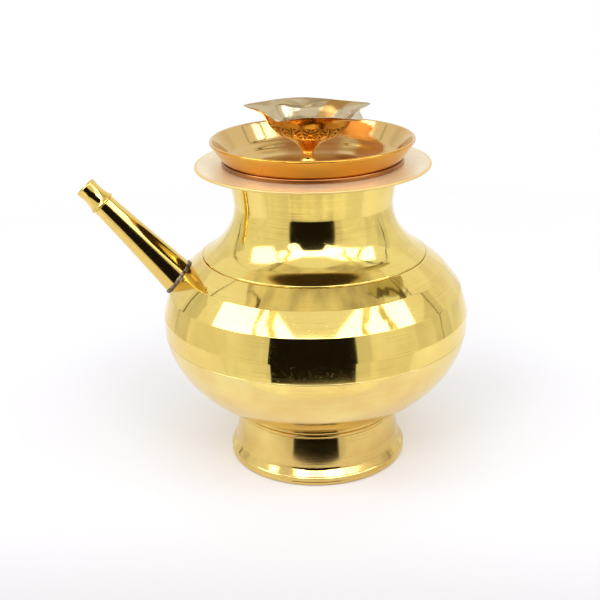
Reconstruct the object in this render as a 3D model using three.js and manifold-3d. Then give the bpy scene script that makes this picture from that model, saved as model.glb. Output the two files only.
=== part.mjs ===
/**
 * A spun and turned brass water pot with a slanted pouring spout. A copper-bronze dish covers
 * its mouth, and a small pedestal oil lamp with five wick lips stands in the dish's well.
 *
 * Units are millimetres. +Z is up and z = 0 is the surface that the foot stands on. The
 * spout points towards -X. Each piece is drawn about the pot's own axis, and the whole is then
 * moved along X, so that the origin lies under the middle of its length, spout included.
 */
import * as THREE from "three";
import { mergeVertices } from "three/addons/utils/BufferGeometryUtils.js";
import Module from "manifold-3d";

const wasm = await Module();
wasm.setup();

// Pot body: an elliptical bowl below, four straight turned bands above it
const BELLY_RADIUS = 70;
const BELLY_HEIGHT = 68;
const BOWL_HALF_DEPTH = 50;
const BOWL_BASE_HEIGHT = 25;
const SEAM_HEIGHT = 63.6;
const RIDGES = [
  { height: 72.1, radius: 69.9 },
  { height: 82.7, radius: 66.7 },
  { height: 91.8, radius: 59.5 },
  { height: 99.1, radius: 50.6 },
];
const WALL = 1.2;
const BASE_CHAMFER = 1.2;
const INSIDE_CORNER = 0.8;

// Neck: a concave throat that swells down to the shoulder and up to the flange
const THROAT_HEIGHT = 122.5;
const THROAT_RADIUS = 35.7;
const NECK_TOP_HEIGHT = 139;
const NECK_TOP_RADIUS = 38;
const SHOULDER_POWER = 2.25;
const MOUTH_POWER = 1.05;

// Rim flange: a flat disc with the mouth cut through it
const FLANGE_RADIUS = 52.5;
const FLANGE_THICKNESS = 1.2;

// Foot: a turned base band, a cone that kicks out at its bottom and a beaded ring at the waist
const BAND_RADIUS = 41.4;
const BAND_HEIGHT = 4.2;
const BAND_WALL = 2.3;
const BAND_EDGE = 0.5;
const CONE_SPREAD = 3;
const KICK_SPREAD = 1.4;
const KICK_POWER = 5;
const WAIST_RADIUS = 36.4;
const WAIST_HEIGHT = 21.2;
const BEAD_SEAT = 1.8;

// Spout: a tapered tube on the shoulder with a skirted nozzle at its tip
const SPOUT_HEIGHT = 87.7;
const SPOUT_RISE = THREE.MathUtils.degToRad(48);
const TUBE_LENGTH = 47.4;
const TUBE_BASE_RADIUS = 8.35;
const TUBE_TIP_RADIUS = 5.25;
const TUBE_POWER = 1.2;
const TUBE_WALL = 1;
const TUBE_BURIED = 7;
const BORE_REACH = 8;
const SKIRT_RADIUS = 6.05;
const SKIRT_EDGE = 0.5;
const SKIRT_HEIGHT = 1.9;
const NOZZLE_LENGTH = 11;
const NOZZLE_SPIGOT = 3.5;
const NOZZLE_WAIST_RADIUS = 4.65;
const NOZZLE_WAIST_SHARE = 0.55;
const MOUTH_RADIUS = 5.1;
const MOUTH_EDGE = 0.25;
const MOUTH_FLARE = 0.15;
const BORE_RADIUS = 3.75;
const SOLDER_RADIUS = 9.3;
const SOLDER_HEIGHT = 2.2;
const SOLDER_ROUND = 1.3;

// Covering dish: a flared wall, a ledge on a turned foot ring, and a well that drops into the mouth
const DISH_FOOT_RADIUS = 40.5;
const DISH_FLOOR_RADIUS = 38.9;
const DISH_RIM_RADIUS = 45.4;
const DISH_HEIGHT = 10.9;
const DISH_LIFT = 0.8;
const DISH_WALL = 1;
const DISH_BEAD = 0.75;
const DISH_CORNER = 1.6;
const WELL_RADIUS = 36.3;
const WELL_FLOOR_RADIUS = 33;
const WELL_DEPTH = 5.7;
const RING_CLIMB = 1.1;
const RING_EDGE = 0.4;
const RING_CLEARANCE = 0.25;

// Oil lamp: a small pedestal under a flaring cup that leans over a little
const LAMP_FOOT_RADIUS = 14;
const LAMP_FOOT_EDGE = 0.8;
const LAMP_FOOT_STEP = 0.4;
const LAMP_FOOT_POWER = 3.3;
const STEM_RADIUS = 2.6;
const STEM_WALL = 0.8;
const STEM_HEIGHT = 9;
const CUP_RIM_HEIGHT = 28.9;
const CUP_RIM_RADIUS = 22.5;
const CUP_EDGE = 0.5;
const CUP_OUTSIDE = [at(3.3, 10.8), at(6.8, 13.9), at(13, 17.3), at(16.9, 20.6), at(20.4, 25.7)];
const CUP_INSIDE = [at(19.9, 26.9), at(17.6, 23.4), at(14.6, 19.8), at(9.8, 16.7), at(0, 15)];
const SPIGOT_END = 3;
const LAMP_OFFSET = -2.1;
const LAMP_LEAN = THREE.MathUtils.degToRad(2.4);

// Wick lips, drawn out of the cup's rim by hand: no two of them are alike
const LIPS = [
  { bearing: 26.5, reach: 8.5, droop: 0.3 },
  { bearing: 96.5, reach: 3.2, droop: 0.4 },
  { bearing: 171.4, reach: 6.5, droop: 0.5 },
  { bearing: 237.2, reach: 2.6, droop: 2.2 },
  { bearing: 318.1, reach: 7.2, droop: 1 },
];
const LIP_START_HEIGHT = 24.9;
const LIP_POWER = 1.2;

// Clearances: lapped brazed seams, and pieces cut to a neighbour's curved surface
const SEAM_LAP = 3;
const SEAM_GAP = 0.15;
const CUT_GAP = 0.3;

const BODY_SIDES = 48;
const SPOUT_SIDES = 28;
const SIDES_PER_LIP = 8;
const CURVE_STEPS = 5;

const FINISHES = {
  mirrorBrass: { color: 0xe4cf78, roughness: 0.12, metalness: 1 },
  spunBrass: { color: 0xdcc572, roughness: 0.24, metalness: 1 },
  satinBrass: { color: 0xeadfb0, roughness: 0.5, metalness: 1 },
  turnedFoot: { color: 0xd8bf66, roughness: 0.2, metalness: 1 },
  solder: { color: 0x6e625c, roughness: 0.6, metalness: 0.8 },
  bronzeDish: { color: 0xd39a52, roughness: 0.14, metalness: 1 },
  darkBronze: { color: 0x8a4f28, roughness: 0.3, metalness: 1 },
  copperLamp: { color: 0xc07a34, roughness: 0.22, metalness: 1 },
};

/** A point of a turned profile: its distance from the axis and its height. */
function at(radius, height) {
  return new THREE.Vector2(radius, height);
}

/** Steps + 1 evenly spaced numbers from start to end. */
function spaced(start, end, steps) {
  return Array.from({ length: steps + 1 }, (_, i) => THREE.MathUtils.lerp(start, end, i / steps));
}

/** The points of a circular arc of a profile, angles in degrees from the outward direction. */
function arc(centre, radius, startDegrees, endDegrees, steps) {
  return spaced(startDegrees, endDegrees, steps).map((degrees) => {
    const angle = THREE.MathUtils.degToRad(degrees);
    return at(centre.x + radius * Math.cos(angle), centre.y + radius * Math.sin(angle));
  });
}

/** Revolves a closed profile about the Z axis, whichever way round its points run. */
function turn(profile, sides) {
  const outline = [...profile];
  const touchesAxis = outline[0].x === 0;
  if (!touchesAxis) outline.push(outline[0].clone());
  if (THREE.ShapeUtils.area(outline) < 0) outline.reverse();
  const geometry = new THREE.LatheGeometry(outline, sides);
  geometry.rotateX(Math.PI / 2);
  return geometry;
}

/** The closed solid of a geometry, for cutting one piece with another. */
function solidOf(geometry) {
  const bare = geometry.clone();
  bare.deleteAttribute("normal");
  bare.deleteAttribute("uv");
  const merged = mergeVertices(bare);
  const corners = merged.index.array;
  const kept = [];
  for (let i = 0; i < corners.length; i += 3) {
    const [a, b, c] = corners.slice(i, i + 3);
    if (a !== b && b !== c && c !== a) kept.push(a, b, c);
  }
  return new wasm.Manifold(
    new wasm.Mesh({
      numProp: 3,
      vertProperties: new Float32Array(merged.attributes.position.array),
      triVerts: new Uint32Array(kept),
    }),
  );
}

/** The geometry of a piece after the cutters have been taken out of it. */
function cut(geometry, ...cutters) {
  let solid = solidOf(geometry);
  for (const cutter of cutters) solid = solid.subtract(solidOf(cutter));
  const mesh = solid.getMesh();
  const result = new THREE.BufferGeometry();
  result.setAttribute("position", new THREE.BufferAttribute(new Float32Array(mesh.vertProperties), 3));
  result.setIndex(new THREE.BufferAttribute(new Uint32Array(mesh.triVerts), 1));
  result.computeVertexNormals();
  return result;
}

/** One named piece with its own material. */
function piece(name, geometry, finish) {
  const mesh = new THREE.Mesh(geometry, new THREE.MeshStandardMaterial(FINISHES[finish]));
  mesh.name = name;
  return mesh;
}

/** Radius of the elliptical lower bowl at a height. */
function bowlRadius(height) {
  const drop = (BELLY_HEIGHT - height) / BOWL_HALF_DEPTH;
  return BELLY_RADIUS * Math.sqrt(1 - drop * drop);
}

/** Radius of the throat at a height: it grows by a power of the distance from its waist. */
function neckRadius(height) {
  const shoulder = RIDGES.at(-1);
  const below = height < THROAT_HEIGHT;
  const reach = below ? THROAT_HEIGHT - shoulder.height : NECK_TOP_HEIGHT - THROAT_HEIGHT;
  const swell = (below ? shoulder.radius : NECK_TOP_RADIUS) - THROAT_RADIUS;
  const share = Math.abs(height - THROAT_HEIGHT) / reach;
  return THROAT_RADIUS + swell * share ** (below ? SHOULDER_POWER : MOUTH_POWER);
}

/** Radius of the pot's outside at any height between the bowl's base and the neck's top. */
function potRadius(height) {
  if (height <= SEAM_HEIGHT) return bowlRadius(height);
  if (height >= RIDGES.at(-1).height) return neckRadius(height);
  const ridges = [{ height: SEAM_HEIGHT, radius: bowlRadius(SEAM_HEIGHT) }, ...RIDGES];
  const upper = ridges.findIndex((ridge) => ridge.height >= height);
  const [low, high] = [ridges[upper - 1], ridges[upper]];
  const share = (height - low.height) / (high.height - low.height);
  return THREE.MathUtils.lerp(low.radius, high.radius, share);
}

/** Unit normal of the pot's outside at a height, pointing away from the axis. */
function potNormal(height) {
  const step = 0.4;
  const lean = (potRadius(height + step) - potRadius(height - step)) / (2 * step);
  return at(1, -lean).normalize();
}

/** The pot's skin at the given heights, moved inwards by a depth along its normal. */
function skin(heights, depth) {
  return heights.map((height) => at(potRadius(height), height).addScaledVector(potNormal(height), -depth));
}

/** The heights of the belly's turned circles, from the seam up to the shoulder. */
function ridgeHeights() {
  return [SEAM_HEIGHT, ...RIDGES.map((ridge) => ridge.height)];
}

/** The heights that carry the neck's curve, closer together where it bends most. */
function neckHeights() {
  const shoulder = RIDGES.at(-1).height;
  return [...spaced(shoulder, THROAT_HEIGHT, 5), ...spaced(THROAT_HEIGHT, NECK_TOP_HEIGHT, 2).slice(1)];
}

/** The thin lip under a shell's lower edge that laps inside the piece below, as skin points. */
function spigotBelow(height) {
  return skin(spaced(height - SEAM_LAP, height, 2), (WALL + SEAM_GAP) / 2);
}

/** The rabbet inside a shell's upper edge that takes the next piece's lip, from the top down. */
function socketBelow(height) {
  const depth = (WALL - SEAM_GAP) / 2;
  return skin(spaced(height - SEAM_LAP - SEAM_GAP, height - SEAM_GAP, 2), depth).reverse();
}

/** The base band that carries the pot: a heavy turned ring with a flat underside. */
function footBand() {
  const inner = BAND_RADIUS - BAND_WALL;
  return turn(
    [
      at(inner, 0),
      at(BAND_RADIUS - BAND_EDGE, 0),
      at(BAND_RADIUS, BAND_EDGE),
      at(BAND_RADIUS, BAND_HEIGHT - BAND_EDGE),
      at(BAND_RADIUS - BAND_EDGE, BAND_HEIGHT),
      at(inner, BAND_HEIGHT),
    ],
    BODY_SIDES,
  );
}

/** The foot's cone between the base band and the waist ring, open inside. */
function footFlare() {
  const drops = spaced(0, 1, CURVE_STEPS).map((share) => Math.sqrt(share));
  const outside = drops.map((drop) => {
    const radius = WAIST_RADIUS + CONE_SPREAD * drop + KICK_SPREAD * drop ** KICK_POWER;
    return at(radius, THREE.MathUtils.lerp(WAIST_HEIGHT, BAND_HEIGHT, drop));
  });
  const inside = outside.map((point) => at(point.x - WALL, point.y)).reverse();
  return turn([...outside, ...inside], BODY_SIDES);
}

/** The ring that joins foot and bowl, with two half-round beads and a groove between them. */
function waistRing() {
  const inner = WAIST_RADIUS - BEAD_SEAT;
  const bead = (BOWL_BASE_HEIGHT - WAIST_HEIGHT) / 4;
  const lower = arc(at(WAIST_RADIUS - BEAD_SEAT / 4, WAIST_HEIGHT + bead), bead, -90, 90, 3);
  const upper = arc(at(WAIST_RADIUS - BEAD_SEAT / 4, BOWL_BASE_HEIGHT - bead), bead, -90, 90, 3);
  return turn(
    [at(inner, WAIST_HEIGHT), ...lower, ...upper.slice(1), at(inner, BOWL_BASE_HEIGHT)],
    BODY_SIDES,
  );
}

/** The lower bowl: an elliptical cup with a flat underside, rabbeted inside its top edge. */
function lowerBowl() {
  const outside = skin(spaced(BOWL_BASE_HEIGHT + BASE_CHAMFER / 2, SEAM_HEIGHT - SEAM_GAP, 7), 0);
  const ledge = SEAM_HEIGHT - SEAM_LAP - SEAM_GAP;
  const inside = skin(spaced(BOWL_BASE_HEIGHT + WALL + INSIDE_CORNER, ledge, 4), WALL).reverse();
  const flatRadius = outside[0].x - BASE_CHAMFER;
  return turn(
    [
      at(0, BOWL_BASE_HEIGHT),
      at(flatRadius, BOWL_BASE_HEIGHT),
      ...outside,
      ...socketBelow(SEAM_HEIGHT),
      ...inside,
      at(flatRadius, BOWL_BASE_HEIGHT + WALL),
      at(0, BOWL_BASE_HEIGHT + WALL),
    ],
    BODY_SIDES,
  );
}

/** The frame of the spout: its origin on the shoulder's skin and its Z axis along the bore. */
function spoutFrame() {
  const frame = new THREE.Group();
  frame.position.set(-potRadius(SPOUT_HEIGHT), 0, SPOUT_HEIGHT);
  frame.rotation.y = SPOUT_RISE - Math.PI / 2;
  frame.updateMatrixWorld();
  return frame;
}

/** A plain round bar along +Z, used to cut bores. */
function bar(radius, start, end) {
  return turn([at(0, start), at(radius, start), at(radius, end), at(0, end)], SPOUT_SIDES);
}

/** A solid plug of the pot's outside, a clearance larger, that shapes what sits on the shoulder. */
function shoulderPlug(clearance) {
  const outline = skin([...ridgeHeights(), ...neckHeights().slice(1)], -clearance);
  return turn([at(0, outline[0].y), ...outline, at(0, outline.at(-1).y)], BODY_SIDES);
}

/** The belly shell with its four turned bands, pierced where the spout's bore enters. */
function bellyShell() {
  const heights = ridgeHeights();
  const top = heights.at(-1);
  const outside = skin([...heights.slice(0, -1), top - SEAM_GAP], 0);
  const ledge = top - SEAM_LAP - SEAM_GAP;
  const inside = skin([SEAM_HEIGHT - SEAM_LAP, ...heights.slice(0, -1), ledge], WALL).reverse();
  const profile = [...outside, ...socketBelow(top), ...inside, ...spigotBelow(SEAM_HEIGHT)];
  const bore = bar(TUBE_BASE_RADIUS - TUBE_WALL, -BORE_REACH, BORE_REACH);
  return cut(turn(profile, BODY_SIDES), bore.applyMatrix4(spoutFrame().matrixWorld));
}

/** The neck shell from the shoulder ridge up to the flange, its top edge turned flat. */
function neckShell() {
  const heights = neckHeights();
  const outside = skin(heights, 0);
  const lip = spaced(heights[0] - SEAM_LAP, heights[0], 1);
  const inside = skin([...lip, ...heights.slice(1, -1)], WALL).reverse();
  const topEdge = at(NECK_TOP_RADIUS - WALL, NECK_TOP_HEIGHT);
  return turn([...outside, topEdge, ...inside, ...spigotBelow(heights[0])], BODY_SIDES);
}

/** The flat flange round the mouth, its outer edge rounded. */
function rimFlange() {
  const half = FLANGE_THICKNESS / 2;
  const middle = NECK_TOP_HEIGHT + half;
  const edge = arc(at(FLANGE_RADIUS - half, middle), half, -90, 90, 4);
  const mouth = NECK_TOP_RADIUS - WALL;
  const top = NECK_TOP_HEIGHT + FLANGE_THICKNESS;
  return turn([at(mouth, NECK_TOP_HEIGHT), ...edge, at(mouth, top)], BODY_SIDES);
}

/** The tapered spout tube, open at both ends, its foot cut by the plug to sit on the shoulder. */
function spoutTube(plug) {
  const growth = TUBE_BASE_RADIUS - TUBE_TIP_RADIUS;
  const stations = [-TUBE_BURIED, ...spaced(0, TUBE_LENGTH, 4)];
  const radii = stations.map((way) => TUBE_TIP_RADIUS + growth * (1 - way / TUBE_LENGTH) ** TUBE_POWER);
  const outside = stations.map((way, i) => at(radii[i], way));
  const bore = stations.map((way, i) => at(radii[i] - TUBE_WALL, way)).reverse();
  return cut(turn([...outside, ...bore], SPOUT_SIDES), plug);
}

/** The turned nozzle: a spigot in the tube, a sharp skirt over its end, a waist and a flared mouth. */
function spoutNozzle() {
  const spigotRadius = TUBE_TIP_RADIUS - TUBE_WALL - SEAM_GAP;
  const seat = TUBE_LENGTH + SEAM_GAP;
  const spigotEnd = seat - NOZZLE_SPIGOT;
  const tip = seat + NOZZLE_LENGTH;
  const waist = seat + NOZZLE_LENGTH * NOZZLE_WAIST_SHARE;
  const shank = new THREE.SplineCurve([
    at(SKIRT_RADIUS, seat + SKIRT_EDGE),
    at(TUBE_TIP_RADIUS, seat + SKIRT_HEIGHT),
    at(NOZZLE_WAIST_RADIUS, waist),
    at(MOUTH_RADIUS - MOUTH_FLARE, tip - 4 * MOUTH_EDGE),
  ]).getPoints(CURVE_STEPS);
  return turn(
    [
      at(BORE_RADIUS, spigotEnd),
      at(spigotRadius, spigotEnd),
      at(spigotRadius, seat),
      at(SKIRT_RADIUS, seat),
      ...shank,
      at(MOUTH_RADIUS, tip - MOUTH_EDGE),
      at(MOUTH_RADIUS - MOUTH_EDGE, tip),
      at(MOUTH_RADIUS - 3 * MOUTH_EDGE, tip),
      at(BORE_RADIUS, waist),
    ],
    SPOUT_SIDES,
  );
}

/** The solder fillet that hugs the spout's foot and lies square to the shoulder. */
function spoutSolder(plug) {
  const normal = potNormal(SPOUT_HEIGHT);
  const tilt = Math.atan2(normal.y, normal.x) - SPOUT_RISE;
  const centre = at(SOLDER_RADIUS - SOLDER_ROUND, SOLDER_HEIGHT - SOLDER_ROUND);
  const crown = arc(centre, SOLDER_ROUND, 0, 90, 4);
  const disc = [at(0, -TUBE_BURIED), at(SOLDER_RADIUS, -TUBE_BURIED), ...crown, at(0, SOLDER_HEIGHT)];
  const blank = turn(disc, SPOUT_SIDES).rotateY(tilt);
  return cut(blank, plug, bar(TUBE_BASE_RADIUS + CUT_GAP, -2 * TUBE_BURIED, 2 * TUBE_BURIED));
}

/** The turned ring that the dish stands on, hugging the pan's lower corner. */
function dishFootRing() {
  const inner = DISH_FLOOR_RADIUS - DISH_CORNER;
  const shoulder = DISH_LIFT + RING_CLIMB;
  const wallFlare = (DISH_RIM_RADIUS - DISH_FLOOR_RADIUS) / (DISH_HEIGHT - DISH_LIFT);
  const besideCorner = DISH_FLOOR_RADIUS + RING_CLEARANCE;
  const besideWall = besideCorner + wallFlare * RING_CLIMB;
  return turn(
    [
      at(inner, 0),
      at(DISH_FOOT_RADIUS - RING_EDGE, 0),
      at(DISH_FOOT_RADIUS, RING_EDGE),
      at(DISH_FOOT_RADIUS, shoulder - RING_EDGE),
      at(DISH_FOOT_RADIUS - RING_EDGE, shoulder),
      at(besideWall, shoulder),
      at(besideCorner, DISH_LIFT),
      at(inner, DISH_LIFT),
    ],
    BODY_SIDES,
  );
}

/** The dish's pan: a well with a flat floor, a ledge, a straight flared wall and a rounded rim. */
function dishPan() {
  const ledge = DISH_LIFT + DISH_WALL;
  const floor = DISH_WALL - WELL_DEPTH;
  const rim = arc(at(DISH_RIM_RADIUS - DISH_BEAD, DISH_HEIGHT - DISH_BEAD), DISH_BEAD, -40, 150, 4);
  const wellFoot = WELL_FLOOR_RADIUS - DISH_WALL;
  return turn(
    [
      at(0, -WELL_DEPTH),
      at(WELL_FLOOR_RADIUS - DISH_CORNER, -WELL_DEPTH),
      at(WELL_FLOOR_RADIUS, DISH_CORNER - WELL_DEPTH),
      at(WELL_RADIUS, DISH_LIFT),
      at(DISH_FLOOR_RADIUS, DISH_LIFT),
      ...rim,
      at(DISH_FLOOR_RADIUS - DISH_CORNER / 3, ledge + DISH_CORNER / 3),
      at(WELL_RADIUS, ledge),
      at(WELL_RADIUS - DISH_WALL, ledge - DISH_WALL / 2),
      at(wellFoot, floor + DISH_CORNER),
      at(wellFoot - DISH_CORNER, floor),
      at(0, floor),
    ],
    BODY_SIDES,
  );
}

/** The lamp's foot: a disc that sweeps up to the stem, bored for the cup's spigot. */
function lampFoot() {
  const bore = STEM_RADIUS - STEM_WALL;
  const sweep = spaced(0, 1, CURVE_STEPS).map((share) => {
    const spread = LAMP_FOOT_RADIUS - LAMP_FOOT_STEP - STEM_RADIUS;
    const height = THREE.MathUtils.lerp(LAMP_FOOT_EDGE + LAMP_FOOT_STEP, STEM_HEIGHT, share);
    return at(STEM_RADIUS + spread * (1 - share) ** LAMP_FOOT_POWER, height);
  });
  const disc = [at(bore, 0), at(LAMP_FOOT_RADIUS, 0), at(LAMP_FOOT_RADIUS, LAMP_FOOT_EDGE)];
  return turn([...disc, ...sweep, at(bore, STEM_HEIGHT)], SPOUT_SIDES);
}

/**
 * Where an angle of the evenly turned cup ends up between two lips, and how much it shares in
 * the nearer one. The sides are shared out between the lips, so that a corner meets each tip.
 */
function lipAt(angle) {
  const place = THREE.MathUtils.euclideanModulo(angle / (2 * Math.PI), 1) * LIPS.length;
  const before = Math.min(Math.floor(place), LIPS.length - 1);
  const across = place - before;
  const last = before === LIPS.length - 1;
  const next = LIPS[last ? 0 : before + 1];
  const end = next.bearing + (last ? 360 : 0);
  return {
    bearing: THREE.MathUtils.degToRad(THREE.MathUtils.lerp(LIPS[before].bearing, end, across)),
    nearest: across < 0.5 ? LIPS[before] : next,
    pull: (1 - Math.sin(Math.PI * across)) ** LIP_POWER,
  };
}

/** Draws the wick lips of a turned cup: the metal near its rim goes outwards and down. */
function drawLips(cup) {
  const position = cup.attributes.position;
  const vertex = new THREE.Vector3();
  for (let i = 0; i < position.count; i += 1) {
    vertex.fromBufferAttribute(position, i);
    const lip = lipAt(Math.atan2(vertex.y, vertex.x));
    const pull = lip.pull * THREE.MathUtils.smoothstep(vertex.z, LIP_START_HEIGHT, CUP_RIM_HEIGHT);
    const radius = Math.hypot(vertex.x, vertex.y) + lip.nearest.reach * pull;
    const height = vertex.z - lip.nearest.droop * pull;
    position.setXYZ(i, radius * Math.cos(lip.bearing), radius * Math.sin(lip.bearing), height);
  }
  return cup;
}

/** Leans the cup over at the top of its socket: the spigot in the foot stays upright. */
function leanOver(cup) {
  const position = cup.attributes.position;
  const pivot = new THREE.Vector3(0, 0, STEM_HEIGHT);
  const hinge = new THREE.Vector3(0, 1, 0);
  const vertex = new THREE.Vector3();
  for (let i = 0; i < position.count; i += 1) {
    vertex.fromBufferAttribute(position, i);
    if (vertex.z <= STEM_HEIGHT) continue;
    vertex.sub(pivot).applyAxisAngle(hinge, LAMP_LEAN).add(pivot);
    position.setXYZ(i, vertex.x, vertex.y, vertex.z);
  }
  return cup;
}

/** The lamp's cup on its funnel-shaped stem, with five wick lips drawn out of its rim. */
function lampCup() {
  const spigot = STEM_RADIUS - STEM_WALL - SEAM_GAP;
  const edge = at(CUP_RIM_RADIUS, CUP_RIM_HEIGHT - CUP_EDGE);
  const lip = at(CUP_RIM_RADIUS - CUP_EDGE / 5, CUP_RIM_HEIGHT);
  const outside = new THREE.SplineCurve([at(STEM_RADIUS, STEM_HEIGHT), ...CUP_OUTSIDE, edge]).getPoints(11);
  const inside = new THREE.SplineCurve([lip, ...CUP_INSIDE]).getPoints(7);
  const stem = [at(0, SPIGOT_END), at(spigot, SPIGOT_END), at(spigot, STEM_HEIGHT)];
  const cup = turn([...stem, ...outside, ...inside], LIPS.length * SIDES_PER_LIP);
  return leanOver(drawLips(cup));
}

/** The spout: tube, nozzle and solder fillet, all in the spout's own frame. */
function spout() {
  const frame = spoutFrame();
  const plug = shoulderPlug(CUT_GAP).applyMatrix4(frame.matrixWorld.clone().invert());
  frame.add(
    piece("spout_tube", spoutTube(plug), "spunBrass"),
    piece("spout_nozzle", spoutNozzle(), "spunBrass"),
    piece("spout_solder", spoutSolder(plug), "solder"),
  );
  return frame;
}

/** The pot: foot, bowl, belly, neck, flange and spout, brazed and soldered together. */
function pot() {
  const group = new THREE.Group();
  group.add(
    piece("foot_band", footBand(), "turnedFoot"),
    piece("foot_flare", footFlare(), "turnedFoot"),
    piece("waist_ring", waistRing(), "turnedFoot"),
    piece("lower_bowl", lowerBowl(), "mirrorBrass"),
    piece("belly_shell", bellyShell(), "mirrorBrass"),
    piece("neck_shell", neckShell(), "spunBrass"),
    piece("rim_flange", rimFlange(), "satinBrass"),
    spout(),
  );
  return group;
}

/** The lamp that stands on the well's floor, a little off its centre. Only its cup leans. */
function lamp() {
  const group = new THREE.Group();
  group.position.set(LAMP_OFFSET, 0, DISH_WALL - WELL_DEPTH);
  group.add(
    piece("lamp_foot", lampFoot(), "copperLamp"),
    piece("lamp_cup", lampCup(), "copperLamp"),
  );
  return group;
}

/** The dish that covers the mouth, resting on the flange, with the lamp in it. */
function dish() {
  const group = new THREE.Group();
  group.position.z = NECK_TOP_HEIGHT + FLANGE_THICKNESS;
  group.add(
    piece("dish_foot_ring", dishFootRing(), "darkBronze"),
    piece("dish_pan", dishPan(), "bronzeDish"),
    lamp(),
  );
  return group;
}

/** How far the spout's mouth reaches from the pot's axis. */
function spoutReach() {
  const tip = TUBE_LENGTH + SEAM_GAP + NOZZLE_LENGTH;
  const alongAxis = tip * Math.cos(SPOUT_RISE) + MOUTH_RADIUS * Math.sin(SPOUT_RISE);
  return potRadius(SPOUT_HEIGHT) + alongAxis;
}

const spoutedPot = new THREE.Group();
spoutedPot.add(pot(), dish());
spoutedPot.position.x = (spoutReach() - BELLY_RADIUS) / 2;

export default spoutedPot;
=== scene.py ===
"""The looks of a spouted brass water pot with its covering dish and five-lipped oil lamp.

Every piece is built as whole arrays of points in millimetres about the pot's own axis, then
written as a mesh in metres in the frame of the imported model, on the body that it moves with.
"""

import logging
import math
from dataclasses import dataclass, field
from enum import Enum

import bpy
import numpy as np
import numpy.typing as npt
from mathutils import Euler, Matrix, Vector


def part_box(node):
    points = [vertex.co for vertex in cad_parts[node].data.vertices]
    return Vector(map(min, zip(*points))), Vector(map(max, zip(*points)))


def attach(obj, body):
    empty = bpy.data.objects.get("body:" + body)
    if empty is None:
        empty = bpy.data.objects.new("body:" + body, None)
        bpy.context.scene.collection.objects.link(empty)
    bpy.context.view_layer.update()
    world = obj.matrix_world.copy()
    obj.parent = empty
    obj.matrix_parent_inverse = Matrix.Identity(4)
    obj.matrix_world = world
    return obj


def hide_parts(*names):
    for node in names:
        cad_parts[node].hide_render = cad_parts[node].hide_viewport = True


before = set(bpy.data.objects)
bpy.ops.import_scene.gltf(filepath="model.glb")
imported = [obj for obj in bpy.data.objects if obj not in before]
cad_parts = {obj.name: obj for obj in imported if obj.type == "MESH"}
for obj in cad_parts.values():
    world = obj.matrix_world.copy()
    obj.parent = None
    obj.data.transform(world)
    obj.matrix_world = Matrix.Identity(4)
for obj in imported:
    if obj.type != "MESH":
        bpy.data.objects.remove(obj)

Array = npt.NDArray[np.float64]
Colour = tuple[float, float, float]
Socket = bpy.types.NodeSocket
Value = Socket | float | Colour

log = logging.getLogger("pot")

MM = 0.001
POT_SIDES = 360
BELLY_SIDES = 256
SPOUT_SIDES = 128
LAMP_FOOT_SIDES = 180
LAMP_CUP_SIDES = 480
SOLDER_SIDES = 260
TABLE_SIDES = 96
CENTRE_HEIGHT = 85.0
SEED = 7
TINY = 1e-9


class Body(Enum):
    """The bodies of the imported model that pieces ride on."""

    POT = "pot"
    DISH = "dish"
    LAMP = "lamp"


# Numbers on a grid


def steps(start: float, end: float, count: int) -> Array:
    """Evenly spaced numbers from start to end, both ends included."""
    return np.linspace(start, end, count)


def smoothstep(value: Array, low: float, high: float) -> Array:
    """Rises from 0 at low to 1 at high as 3s^2 - 2s^3, level at both ends."""
    share = np.clip((value - low) / (high - low), 0.0, 1.0)
    return share * share * (3.0 - 2.0 * share)


@dataclass(frozen=True)
class Stretch:
    """A stretch of numbers with soft ends: it fades in over one range and out over another."""

    fade_in: tuple[float, float]
    fade_out: tuple[float, float]

    def cover(self, value: Array) -> Array:
        """How far each number is inside the stretch, from 0 to 1."""
        return smoothstep(value, *self.fade_in) * (1.0 - smoothstep(value, *self.fade_out))


def outline(*points: tuple[float, float]) -> Array:
    """A profile's corner points, each (radius, height), as an array of pairs."""
    return np.array(points, dtype=float)


def through(points: Array, count: int) -> Array:
    """A smooth curve through points: a Catmull-Rom cubic between each two of them.

    Args:
        points: the points that the curve passes, in order.
        count: how many points the curve gets.

    Returns:
        The curve's points, the first and last of points included.
    """
    last = len(points) - 1
    place = steps(0.0, last, count)
    start = np.clip(place.astype(int), 0, last - 1)
    share = (place - start)[:, None]
    before, here, after, beyond = (points[np.clip(start + k, 0, last)] for k in (-1, 0, 1, 2))
    leave, arrive = (after - before) / 2.0, (beyond - here) / 2.0
    cubic = (2.0 * here - 2.0 * after + leave + arrive) * share**3
    square = (-3.0 * here + 3.0 * after - 2.0 * leave - arrive) * share**2
    return cubic + square + leave * share + here


def softened(points: Array, reach: float, count: int = 5) -> Array:
    """Rounds the inner corners of an open profile.

    Each corner P is replaced by the parabola (1-s)^2 A + 2s(1-s) P + s^2 B, where A and B lie
    on the two sides at the same distance from P: the reach, or 0.45 of the shorter side.

    Args:
        points: the profile's corners.
        reach: how far along its sides a corner is rounded.
        count: how many points each rounding gets.

    Returns:
        The profile with rounded corners.
    """
    before, corner, after = points[:-2], points[1:-1], points[2:]
    short = np.minimum(*(np.linalg.norm(side - corner, axis=1) for side in (before, after)))
    span = np.minimum(reach, short * 0.45)[:, None]
    start, end = (corner + (side - corner) / np.linalg.norm(side - corner, axis=1)[:, None] * span
                  for side in (before, after))
    share = steps(0.0, 1.0, count)[None, :, None]
    ends = (1 - share) ** 2 * start[:, None] + share**2 * end[:, None]
    bend = ends + 2 * share * (1 - share) * corner[:, None]
    return np.concatenate([points[:1], bend.reshape(-1, 2), points[-1:]])


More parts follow.
